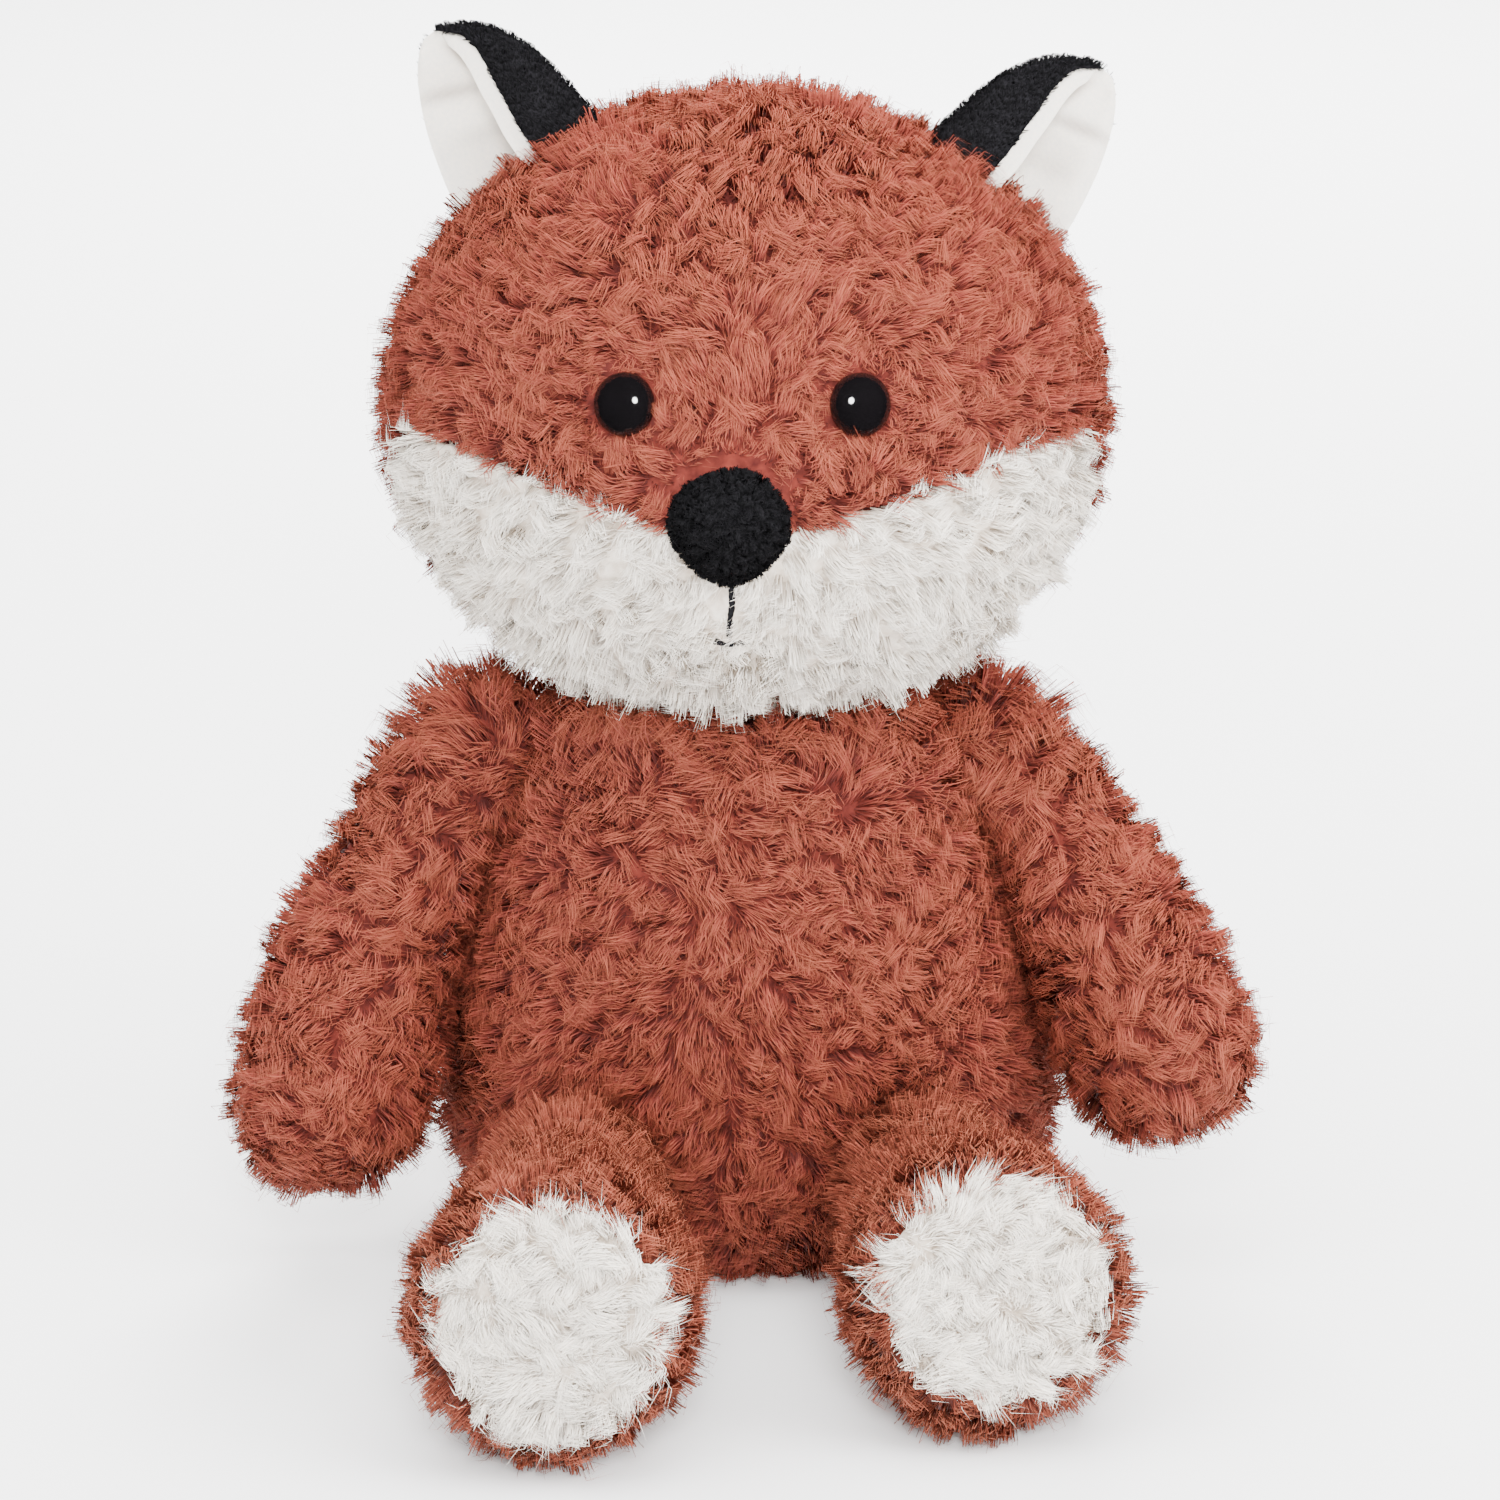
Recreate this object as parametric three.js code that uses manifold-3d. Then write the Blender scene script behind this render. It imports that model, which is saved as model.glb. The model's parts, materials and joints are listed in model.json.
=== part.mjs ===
// A sitting plush fox, about 240 mm tall to its ear tips, in millimetres.
// X runs to the viewer's right, Y to the back and Z up, with the origin on the floor under the seat.
// Left and right are the fox's own sides, so its left side is at +X.
// Each stuffed part is a skin of long-haired plush, open where it is sewn on, with its stuffing inside.

import * as THREE from 'three';
import { mergeVertices } from 'three/addons/utils/BufferGeometryUtils.js';
import Module from 'manifold-3d';

const wasm = await Module();
wasm.setup();

// Cloth and fits
const seamGap = 0.3;
const plush = 5;
const velour = 1.6;
const floorPress = 0.5;
const seamOpening = 7;
const beyond = 400;

// Torso
const torsoHalfWidth = 64;
const torsoHalfDepth = 53;
const seatBack = 2;
const neckHeight = 114;
const neckForward = 8;
const neckSide = 1;
const torsoSwellShares = [
  [0, 0.74, 0.74],
  [0.04, 0.87, 0.87],
  [0.13, 0.96, 0.96],
  [0.28, 1, 1],
  [0.48, 0.955, 0.965],
  [0.66, 0.87, 0.87],
  [0.83, 0.77, 0.73],
  [0.94, 0.68, 0.61],
  [1, 0.6, 0.54],
];

// Bean pouch in the seat
const pouchHalfWidth = 34;
const pouchHalfDepth = 27;
const pouchHeight = 16;

// Head, a swollen ball over the neck
const headHalfWidth = 72;
const headHalfDepth = 56;
const headHalfHeight = 62.8;
const headSettle = 7.8;
const headYaw = THREE.MathUtils.degToRad(-0.5);
const muzzleRise = 6;
const muzzleFall = THREE.MathUtils.degToRad(12);
const muzzleSpread = THREE.MathUtils.degToRad(30);
const socketDepth = 3.5;
const socketSpread = THREE.MathUtils.degToRad(13);

// Cheek line, between the rust crown and the white muzzle
const cheekDrop = 11;
const cheekLift = 17.5;
const cheekPower = 2.2;
const sideSeamForward = 12;

// Safety eye, its ridged shank and its locking washer
const eyeRadius = 6;
const eyeBand = 0.8;
const eyeDome = 3.8;
const eyeSpread = 22.8;
const eyeLift = 14;
const eyeSeat = 1.5;
const shankRadius = 2;
const shankLength = 12;
const ridgeCount = 3;
const ridgeHeight = 0.45;
const washerRadius = 6.5;
const washerThickness = 1.6;
const washerCollar = 1.2;
const washerSink = 0.3;

// Nose pad and the stitched mouth below it
const noseHalfWidth = 12.5;
const noseHeight = 22.5;
const noseHalfDepth = 9;
const noseDrop = 6.5;
const noseSide = 2;
const noseSink = 1.5;
const noseSwellShares = [
  [0, 0, 0],
  [0.04, 0.3, 0.36],
  [0.2, 0.68, 0.74],
  [0.38, 0.9, 0.92],
  [0.55, 1, 1],
  [0.75, 0.88, 0.86],
  [0.91, 0.6, 0.56],
  [0.98, 0.32, 0.3],
  [1, 0, 0],
];
const threadRadius = 0.7;
const mouthDrop = 32;
const mouthHalfWidth = 5.5;

// Ear, two leaves of velour whose inner edge is folded forward, set in the pile of the crown
const earLength = 31.5;
const earHalfWidth = 15;
const earRootDepth = 3;
const earRootSide = { left: 50.5, right: 44 };
const earRootBack = 12;
const earSplay = THREE.MathUtils.degToRad(15);
const earFold = THREE.MathUtils.degToRad(160);
const earBend = THREE.MathUtils.degToRad(12);
// Height, then the outer edge, the fold, the fold's radius and the folded wing as shares of the half width
const earShares = [
  [0, 1, 1, 0.34, 0.39],
  [0.17, 0.95, 0.96, 0.32, 0.36],
  [0.33, 0.88, 0.89, 0.29, 0.23],
  [0.5, 0.79, 0.77, 0.25, 0.14],
  [0.64, 0.69, 0.64, 0.21, 0.1],
  [0.77, 0.57, 0.48, 0.17, 0.08],
  [0.88, 0.44, 0.27, 0.14, 0.06],
  [0.96, 0.3, 0.06, 0.11, 0.04],
  [1, 0.17, -0.05, 0.09, 0.02],
];

// Arms, each hanging from a ball end at the shoulder
const armBall = 17.5;
const armHalfWidth = 21.5;
const armHalfDepth = 19.5;
const armBow = { left: 11, right: 20 };
const shoulderOut = { left: 45, right: 50.5 };
const shoulderForward = 3;
const shoulderDrop = 17.5;
const shoulderHeight = neckHeight - shoulderDrop;
const handOut = { left: 85.5, right: 82 };
const handForward = { left: 36, right: 34 };
const handHeight = { left: 28, right: 15 };
const armSwellShares = [
  [0, 0.81, 0.89],
  [0.2, 0.83, 0.92],
  [0.45, 0.9, 0.96],
  [0.7, 1, 1],
  [0.86, 0.92, 0.9],
  [0.96, 0.62, 0.6],
  [1, 0, 0],
];

// Legs, stretched forward from a ball end at the hip, with a white sole
const legBall = 19;
const legHalfWidth = 28.5;
const legHalfHeight = 28.5;
const hipOut = 34;
const hipForward = 54;
const hipHeight = 24.5;
const footOut = { left: 45.5, right: 36.5 };
const footForward = { left: 121, right: 136 };
const footHeight = 31;
const legSag = 7;
const soleRadius = 23.7;
const soleDepth = 6;
const legSwellShares = [
  [0, 0.65, 0.65],
  [0.2, 0.7, 0.7],
  [0.45, 0.8, 0.83],
  [0.68, 0.93, 0.95],
  [0.86, 1, 1],
  [0.97, 0.92, 0.92],
  [1, 0, 0],
];

// Bushy tail, rising behind the seat, with a white tip
const tailBall = 12;
const tailHalfWidth = 20;
const tailHeight = 92;
const tailRootBack = 55;
const tailRootHeight = 23;
const tailBack = 78;
const tailSide = 6;
const tailTipShare = 0.6;
const tailSwellShares = [
  [0, 0.5, 0.5],
  [0.18, 0.62, 0.62],
  [0.42, 0.94, 0.94],
  [0.62, 1, 1],
  [0.82, 0.78, 0.78],
  [0.95, 0.36, 0.36],
  [1, 0, 0],
];

// Facets
const torsoSides = 20;
const headSides = 22;
const headRows = 12;
const headLinerSides = 12;
const headLinerRows = 6;
const limbSides = 12;
const linerSides = 10;
const formSteps = 9;
const linerSteps = 6;
const ballSides = 10;
const ballRows = 6;
const roundSides = 12;
const threadSides = 5;
const threadSteps = 6;
const foldSteps = 4;
const domeSteps = 3;

// A form whose width falls under this share of its half width is closed by a point
const closedShare = 0.001;

const sides = { left: 1, right: -1 };
const xAxis = new THREE.Vector3(1, 0, 0);
const yAxis = new THREE.Vector3(0, 1, 0);
const zAxis = new THREE.Vector3(0, 0, 1);

// A closed three.js geometry as a solid that can be joined and cut
function solid(geometry) {
  const plain = geometry.clone();
  plain.deleteAttribute('normal');
  plain.deleteAttribute('uv');
  const merged = mergeVertices(plain);
  return new wasm.Manifold(new wasm.Mesh({
    numProp: 3,
    vertProperties: merged.attributes.position.array,
    triVerts: new Uint32Array(merged.index.array),
  }));
}

// A solid's faces as a three.js geometry
function bare(shape) {
  const { vertProperties, triVerts } = shape.getMesh();
  const geometry = new THREE.BufferGeometry();
  geometry.setAttribute('position', new THREE.BufferAttribute(new Float32Array(vertProperties), 3));
  return geometry.setIndex(new THREE.BufferAttribute(new Uint32Array(triVerts), 1));
}

// Rings of equal count joined into one closed skin. The ends are fans on two poles, or, for
// flat bands without poles, strips across the band.
function ringed(rings, startPole, endPole) {
  const count = rings[0].length;
  const points = rings.flat();
  const last = (rings.length - 1) * count;
  const index = [];
  for (let j = 0; j < count; j += 1) {
    const next = (j + 1) % count;
    for (let row = 0; row < last; row += count) {
      index.push(row + j, row + next, row + count + next);
      index.push(row + j, row + count + next, row + count + j);
    }
    if (startPole) {
      const start = last + count;
      index.push(start, next, j, start + 1, last + j, last + next);
    } else if (j < count / 2 - 1) {
      const facing = count - 1 - j;
      index.push(j, facing, next, next, facing, facing - 1);
      index.push(last + j, last + next, last + facing);
      index.push(last + next, last + facing - 1, last + facing);
    }
  }
  if (startPole) points.push(startPole, endPole);
  const geometry = new THREE.BufferGeometry().setFromPoints(points);
  geometry.setIndex(index);
  return geometry;
}

// An oval ring of points
function oval(centre, across, deep, halfAcross, halfDeep, count) {
  return Array.from({ length: count }, (_, j) => {
    const turn = (2 * Math.PI * j) / count;
    return centre.clone()
      .addScaledVector(across, halfAcross * Math.cos(turn))
      .addScaledVector(deep, halfDeep * Math.sin(turn));
  });
}

// A stuffed form: ovals along a spine that swell by a table of shares, moved in or out by grow
function stuffed(form, grow, count) {
  const { spine, swellShares, halfWidth, halfDepth, deepAxis } = form;
  const steps = grow < 0 ? linerSteps : formSteps;
  const length = spine.getLength();
  const rows = swellShares.map((row) => new THREE.Vector3(...row));
  const table = new THREE.CatmullRomCurve3(rows, false, 'centripetal');
  const stations = table.getPoints(steps);
  const profile = stations.map((row) => new THREE.Vector2(row.x * length, row.y * halfWidth));
  const slope = (i) => profile[i + 1].clone().sub(profile[i]).normalize();
  const rings = [];
  const poles = [];
  stations.forEach(({ x: along, y: width, z: depth }, i) => {
    const into = slope(Math.max(i - 1, 0));
    const run = slope(Math.min(i, steps - 1)).add(into).normalize();
    const reach = grow / run.dot(into);
    const share = THREE.MathUtils.clamp(along, 0, 1);
    const travel = spine.getTangentAt(share);
    const closed = width < closedShare;
    const end = share > 0 ? 1 : -1;
    const slip = closed ? end * grow : -run.y * reach;
    const centre = spine.getPointAt(share).addScaledVector(travel, slip);
    poles.push(centre);
    if (!closed) {
      const deep = deepAxis.clone().addScaledVector(travel, -deepAxis.dot(travel)).normalize();
      const across = deep.clone().cross(travel);
      const swell = run.x * reach;
      rings.push(oval(centre, across, deep, width * halfWidth + swell, depth * halfDepth + swell, count));
    }
  });
  return solid(ringed(rings, poles[0], poles[poles.length - 1]));
}

// The spine of a limb, bowed away from the straight line between its ends
function bowed(start, end, bow) {
  const control = start.clone().lerp(end, 0.5).add(bow);
  return new THREE.QuadraticBezierCurve3(start, control, end);
}

// A solid carried to a place
function moved(shape, place) {
  return solid(bare(shape).applyMatrix4(place));
}

// A block that covers everything behind a plane
function behind(point, normal) {
  const block = new THREE.BoxGeometry(beyond, beyond, beyond);
  block.translate(0, 0, -beyond / 2);
  block.applyQuaternion(new THREE.Quaternion().setFromUnitVectors(zAxis, normal));
  block.translate(point.x, point.y, point.z);
  return solid(block);
}

// A place at a point with its z axis along a direction
function placeOn(point, way) {
  const turn = new THREE.Quaternion().setFromUnitVectors(zAxis, way);
  return new THREE.Matrix4().makeRotationFromQuaternion(turn).setPosition(point);
}

// A round bar along the z axis of a place, between two heights on it
function bar(place, radius, low, high) {
  const round = new THREE.CylinderGeometry(radius, radius, high - low, roundSides);
  round.rotateX(Math.PI / 2);
  round.translate(0, 0, (low + high) / 2);
  return solid(round.applyMatrix4(place));
}

// A ball with its poles along z, twisted by a number of half facets
function ball(centre, radius, twist = 0) {
  const round = new THREE.SphereGeometry(radius, ballSides, ballRows);
  round.rotateY(Math.PI * (twist / ballSides));
  round.rotateX(Math.PI * (1 / 2 + twist / (2 * ballRows)));
  round.translate(centre.x, centre.y, centre.z);
  return solid(round);
}

// The hollow that a ball end turns in, widened so that its flats clear the turning ball, and
// twisted by half a facet so that they lie against the ball's corners
function dimple(centre, radius) {
  const flats = Math.cos(Math.PI / ballSides) * Math.cos(Math.PI / (2 * ballRows));
  return ball(centre, (radius + seamGap) / flats, 1);
}

// A named mesh of a solid, moved to the frame of the group that carries it
function piece(name, shape, colour, roughness, origin = new THREE.Vector3()) {
  const geometry = bare(shape).translate(-origin.x, -origin.y, -origin.z);
  geometry.computeVertexNormals();
  const material = new THREE.MeshStandardMaterial({ color: colour, roughness, metalness: 0 });
  const mesh = new THREE.Mesh(geometry, material);
  mesh.name = name;
  return mesh;
}

const rust = '#be5f41';
const rustFeet = '#c2683f';
const white = '#e3e0da';
const black = '#17161a';
const wadding = '#efece6';
const clearPlastic = '#d8dadc';

// The form of the torso, from just under the floor to just over the neck seam
const torso = {
  spine: new THREE.LineCurve3(
    new THREE.Vector3(0, seatBack, -floorPress),
    new THREE.Vector3(-neckSide, -neckForward, neckHeight + floorPress),
  ),
  swellShares: torsoSwellShares,
  halfWidth: torsoHalfWidth,
  halfDepth: torsoHalfDepth,
  deepAxis: yAxis,
};
const floor = new THREE.Vector3();
const neck = new THREE.Vector3(-neckSide, -neckForward, neckHeight);

// A limb: a stuffed form with a ball end, kept clear of the torso everywhere but in the ball's dimple
function limb(form, grow, count) {
  return stuffed(form, grow, count)
    .subtract(stuffed(torso, seamGap - grow, torsoSides))
    .add(ball(form.root, form.ballRadius + grow));
}

// The skin of a limb, hollow, with the opening that is sewn to the torso
function limbSkin(form) {
  return limb(form, 0, limbSides)
    .subtract(limb(form, -plush, linerSides))
    .subtract(bar(placeOn(form.root, form.seat), seamOpening, 0, 2 * form.ballRadius));
}

function limbStuffing(form) {
  return limb(form, -plush - seamGap, linerSides);
}

function armForm(side) {
  const out = sides[side];
  const root = new THREE.Vector3(out * shoulderOut[side], -shoulderForward, shoulderHeight);
  const hand = new THREE.Vector3(out * handOut[side], -handForward[side], handHeight[side]);
  return {
    root,
    spine: bowed(root, hand, new THREE.Vector3(out * armBow[side], 0, 0)),
    swellShares: armSwellShares,
    halfWidth: armHalfWidth,
    halfDepth: armHalfDepth,
    deepAxis: yAxis,
    ballRadius: armBall,
    seat: new THREE.Vector3(-out, 0, 0),
  };
}

function legForm(side) {
  const out = sides[side];
  const root = new THREE.Vector3(out * hipOut, -hipForward, hipHeight);
  const foot = new THREE.Vector3(out * footOut[side], -footForward[side], footHeight);
  return {
    root,
    spine: bowed(root, foot, new THREE.Vector3(0, 0, -legSag)),
    swellShares: legSwellShares,
    halfWidth: legHalfWidth,
    halfDepth: legHalfHeight,
    deepAxis: zAxis,
    ballRadius: legBall,
    seat: yAxis,
  };
}

const tailRoot = new THREE.Vector3(0, tailRootBack, tailRootHeight);
const tailForm = {
  root: tailRoot,
  spine: new THREE.QuadraticBezierCurve3(
    tailRoot,
    new THREE.Vector3(0, tailBack + tailBall, tailRootHeight),
    new THREE.Vector3(tailSide, tailBack, tailHeight),
  ),
  swellShares: tailSwellShares,
  halfWidth: tailHalfWidth,
  halfDepth: tailHalfWidth,
  deepAxis: xAxis,
  ballRadius: tailBall,
  seat: yAxis.clone().negate(),
};

const arms = { left: armForm('left'), right: armForm('right') };
const legs = { left: legForm('left'), right: legForm('right') };
const ballEnds = [arms.left, arms.right, legs.left, legs.right, tailForm];

// A shape with the dimple of every ball end taken out of it
function dimpled(shape) {
  return ballEnds.reduce((rest, form) => rest.subtract(dimple(form.root, form.ballRadius)), shape);
}

// The head's frame starts at the middle of the neck seam
const headRise = headHalfHeight - headSettle;
const headCentre = new THREE.Vector3(0, 0, headRise);
const muzzleWay = new THREE.Vector3(0, -Math.cos(muzzleFall), -Math.sin(muzzleFall));

function headDirection(across, up) {
  const x = across / headHalfWidth;
  const z = up / headHalfHeight;
  return new THREE.Vector3(across, -headHalfDepth * Math.sqrt(1 - x * x - z * z), up).normalize();
}

const eyeWays = [
  headDirection(eyeSpread, eyeLift),
  headDirection(-eyeSpread, eyeLift),
];

// A point on the head's surface in a given direction from its centre, moved out by grow
function headPoint(way, grow) {
  const { x, y, z } = way;
  const ball = 1 / Math.hypot(x / headHalfWidth, y / headHalfDepth, z / headHalfHeight);
  const bump = muzzleRise * Math.exp(-((way.angleTo(muzzleWay) / muzzleSpread) ** 2));
  const dents = eyeWays.map((eye) => Math.exp(-((way.angleTo(eye) / socketSpread) ** 2)));
  const reach = ball + bump - socketDepth * (dents[0] + dents[1]) + grow;
  return headCentre.clone().addScaledVector(way, reach);
}

function head(grow, count, rowCount) {
  const rings = [];
  for (let row = 1; row < rowCount; row += 1) {
    const rise = Math.PI * (row / rowCount - 0.5);
    rings.push(oval(new THREE.Vector3(), xAxis, yAxis, Math.cos(rise), Math.cos(rise), count)
      .map((point) => headPoint(point.setZ(Math.sin(rise)).normalize(), grow)));
  }
  return solid(ringed(rings, headPoint(zAxis.clone().negate(), grow), headPoint(zAxis, grow)));
}

// Everything in front of the side seams and under the cheek line, moved out by grow
function muzzleSpace(grow) {
  const half = headHalfWidth + plush;
  const line = new THREE.Shape();
  line.moveTo(-half, -beyond / 2);
  line.lineTo(half, -beyond / 2);
  for (let step = 0; step <= 2 * roundSides; step += 1) {
    const x = half * (1 - step / roundSides);
    const lift = cheekLift * (Math.abs(x) / headHalfWidth) ** cheekPower;
    line.lineTo(x, headRise - cheekDrop + lift + grow);
  }
  const block = new THREE.ExtrudeGeometry(line, { depth: beyond / 2, bevelEnabled: false, steps: 1 });
  block.rotateX(Math.PI / 2);
  block.translate(0, grow - sideSeamForward, 0);
  return solid(block);
}

// The place of an eye: its origin on the face, its z axis pointing out of the head
function eyePlace(way) {
  return placeOn(headPoint(way, 0), way);
}

// The round seat of the eye, the shank's hole and the flat that the washer grips
function eyeCuts(way) {
  const place = eyePlace(way);
  return bar(place, eyeRadius + seamGap, -eyeSeat, plush)
    .add(bar(place, shankRadius + ridgeHeight + seamGap, -2 * plush, plush))
    .add(bar(place, washerRadius + seamGap, -3 * plush, washerSink - plush));
}

function eyePocket(way) {
  return bar(eyePlace(way), washerRadius + seamGap, -eyeSeat - shankLength - 2 * seamGap, 0);
}

function eyeGeometry() {
  const base = seamGap - eyeSeat;
  const profile = [new THREE.Vector2(0, base - shankLength)];
  for (let ridge = 0; ridge < ridgeCount; ridge += 1) {
    const pitch = (shankLength - 2 * washerThickness) / ridgeCount;
    const low = base - shankLength + ridge * pitch;
    profile.push(new THREE.Vector2(shankRadius, low));
    profile.push(new THREE.Vector2(shankRadius + ridgeHeight, low + pitch / 2));
  }
  profile.push(new THREE.Vector2(shankRadius, base - 2 * washerThickness));
  profile.push(new THREE.Vector2(shankRadius, base));
  profile.push(new THREE.Vector2(eyeRadius, base));
  for (let step = 0; step <= domeSteps; step += 1) {
    const rise = (Math.PI / 2) * (step / domeSteps);
    const lift = base + eyeBand + eyeDome * Math.sin(rise);
    profile.push(new THREE.Vector2(step < domeSteps ? eyeRadius * Math.cos(rise) : 0, lift));
  }
  const turned = new THREE.LatheGeometry(profile, roundSides);
  return turned.rotateX(Math.PI / 2);
}

function washerGeometry() {
  const bore = shankRadius + ridgeHeight + seamGap;
  const top = washerSink - plush - seamGap;
  const low = top - washerThickness;
  const profile = [
    new THREE.Vector2(bore, low - washerCollar),
    new THREE.Vector2(bore + washerThickness, low - washerCollar),
    new THREE.Vector2(bore + washerThickness, low),
    new THREE.Vector2(washerRadius, low),
    new THREE.Vector2(washerRadius, top),
    new THREE.Vector2(bore, top),
    new THREE.Vector2(bore, low - washerCollar),
  ];
  return new THREE.LatheGeometry(profile, roundSides).rotateX(Math.PI / 2);
}

// The place of an ear: x along its root in the pile, y to its back and z up the leaf
function earPlace(side) {
  const out = sides[side];
  const x = (out * earRootSide[side]) / headHalfWidth;
  const y = earRootBack / headHalfDepth;
  const z = Math.sqrt(1 - x * x - y * y);
  const way = new THREE.Vector3(x * headHalfWidth, y * headHalfDepth, z * headHalfHeight).normalize();
  const leaf = new THREE.Vector3(x / headHalfWidth, y / headHalfDepth, z / headHalfHeight).normalize();
  const root = xAxis.clone().applyAxisAngle(zAxis, out * earSplay);
  root.addScaledVector(leaf, -root.dot(leaf)).normalize();
  const place = new THREE.Matrix4().makeBasis(root, leaf.clone().cross(root), leaf);
  return place.setPosition(headPoint(way, 0).addScaledVector(leaf, -earRootDepth));
}

// The path across an ear at one height: flat, round the fold and back along the wing
function earPath(outer, fold, radius, wing) {
  const flatEnd = fold - radius;
  const path = [0, 1 / 3, 2 / 3, 1].map((share) => [flatEnd * share - outer * (1 - share), 0, 0]);
  for (let step = 1; step <= foldSteps; step += 1) {
    const turn = (earFold * step) / foldSteps;
    path.push([flatEnd + radius * Math.sin(turn), -radius * (1 - Math.cos(turn)), turn]);
  }
  const [x, y, turn] = path[path.length - 1];
  path.push([x + wing * Math.cos(turn), y - wing * Math.sin(turn), turn]);
  return path;
}

// One leaf of an ear between two distances from its seam, positive into the fold
function earLeaf(side, low, high, overrun) {
  const out = sides[side];
  const rings = earShares.map(([heightShare, ...shares], row) => {
    const [outer, fold, radius, wing] = shares.map((share) => share * earHalfWidth);
    const path = earPath(outer + overrun, fold, radius, wing + overrun);
    const height = heightShare * earLength - (row === 0 ? overrun : 0);
    const face = (offset) => path.map(([x, y, turn]) => new THREE.Vector3(
      -out * (x - offset * Math.sin(turn)),
      y - offset * Math.cos(turn),
      height,
    ));
    const ring = face(low).concat(face(high).reverse());
    return out > 0 ? ring : ring.reverse();
  });
  return solid(ringed(rings));
}

const earRound = velour + seamGap / 2;

// The parting in the pile that an ear's root bends in
function earParting(side) {
  const place = earPlace(side);
  const thick = earRound + 2 * seamGap;
  return [-1, 0, 1].map((share) => {
    const turn = new THREE.Matrix4().makeRotationX(share * earBend);
    return moved(earLeaf(side, -thick, thick, 2 * seamGap), place.clone().multiply(turn));
  }).reduce((all, one) => all.add(one));
}

// The nose pad, seated on the face
function nose() {
  const seat = headPoint(headDirection(-noseSide, -noseDrop), -noseSink);
  const bottom = seat.clone().addScaledVector(zAxis, -noseHeight / 2);
  const top = seat.clone().addScaledVector(zAxis, noseHeight / 2);
  const form = {
    spine: new THREE.LineCurve3(bottom, top),
    swellShares: noseSwellShares,
    halfWidth: noseHalfWidth,
    halfDepth: noseHalfDepth,
    deepAxis: yAxis,
  };
  return stuffed(form, 0, roundSides).subtract(head(seamGap, headSides, headRows));
}

// A length of thread laid on the face through points given across and up from the head's centre
function thread(places) {
  const section = new THREE.Shape(Array.from({ length: threadSides }, (_, j) => {
    const turn = (2 * Math.PI * j) / threadSides;
    return new THREE.Vector2(threadRadius * Math.cos(turn), threadRadius * Math.sin(turn));
  }));
  const points = places.map(([across, up]) => headPoint(headDirection(across, up), threadRadius + 2 * seamGap));
  const path = new THREE.CatmullRomCurve3(points);
  return solid(new THREE.ExtrudeGeometry(section, { steps: threadSteps, bevelEnabled: false, extrudePath: path }));
}

function mouth() {
  const top = -noseDrop - noseHeight / 2 - threadRadius - seamGap;
  const low = -mouthDrop;
  const down = thread([[-noseSide, top], [-noseSide, (top + low) / 2], [-noseSide, low]]);
  const left = mouthHalfWidth - noseSide;
  const right = -mouthHalfWidth - noseSide;
  const level = thread([[right, low], [-noseSide, low + threadRadius], [left, low]]);
  return down.add(level);
}

// The round space that the sole panel takes up at the toe, moved out by grow
function soleSpace(toe, grow) {
  return bar(toe, soleRadius + grow, -soleDepth - grow, soleDepth);
}

const torsoShell = stuffed(torso, 0, torsoSides)
  .subtract(behind(floor, zAxis))
  .subtract(behind(neck, zAxis.clone().negate()))
  .subtract(stuffed(torso, -plush, linerSides)
    .subtract(behind(new THREE.Vector3(0, 0, plush), zAxis)));

function pouch(grow) {
  const round = new THREE.SphereGeometry(1, roundSides, ballRows);
  round.rotateX(Math.PI / 2);
  round.scale(pouchHalfWidth + grow, pouchHalfDepth + grow, pouchHeight / 2 + grow);
  round.translate(0, seatBack, plush + seamGap + pouchHeight / 2 - floorPress);
  return solid(round).subtract(behind(new THREE.Vector3(0, 0, plush + seamGap - grow), zAxis));
}

const torsoStuffing = stuffed(torso, -plush - seamGap, linerSides)
  .subtract(behind(new THREE.Vector3(0, 0, plush + seamGap), zAxis))
  .subtract(behind(neck, zAxis.clone().negate()))
  .subtract(pouch(2 * seamGap));

const fox = new THREE.Group();
fox.add(
  piece('torso_skin', dimpled(torsoShell), rust, 1),
  piece('torso_stuffing', dimpled(torsoStuffing), wadding, 1),
  piece('bean_pouch', pouch(0), white, 0.9),
);

// Head
const headGroup = new THREE.Group();
headGroup.position.copy(neck);
headGroup.rotation.z = headYaw;
fox.add(headGroup);

const neckFace = behind(new THREE.Vector3(0, 0, seamGap), zAxis);
const headShell = head(0, headSides, headRows)
  .subtract(head(-plush, headLinerSides, headLinerRows))
  .subtract(neckFace);
const eyeHoles = eyeCuts(eyeWays[0]).add(eyeCuts(eyeWays[1]));
const partings = earParting('left').add(earParting('right'));
const crown = headShell.subtract(muzzleSpace(seamGap)).subtract(eyeHoles).subtract(partings);
const headFilling = head(-plush - seamGap, headLinerSides, headLinerRows)
  .subtract(neckFace)
  .subtract(eyePocket(eyeWays[0]))
  .subtract(eyePocket(eyeWays[1]));
headGroup.add(
  piece('crown_skin', crown, rust, 1),
  piece('muzzle_skin', headShell.intersect(muzzleSpace(0)), white, 1),
  piece('head_stuffing', headFilling, wadding, 1),
  piece('nose_pad', nose(), black, 0.9),
  piece('mouth_stitch', mouth(), black, 0.8),
);

// Eyes
['left', 'right'].forEach((side, i) => {
  const place = eyePlace(eyeWays[i]);
  const eyeGroup = new THREE.Group();
  eyeGroup.applyMatrix4(place);
  eyeGroup.add(
    piece(`eye_${side}`, solid(eyeGeometry()), black, 0.05),
    piece(`eye_washer_${side}`, solid(washerGeometry()), clearPlastic, 0.4),
  );
  headGroup.add(eyeGroup);
});

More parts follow.
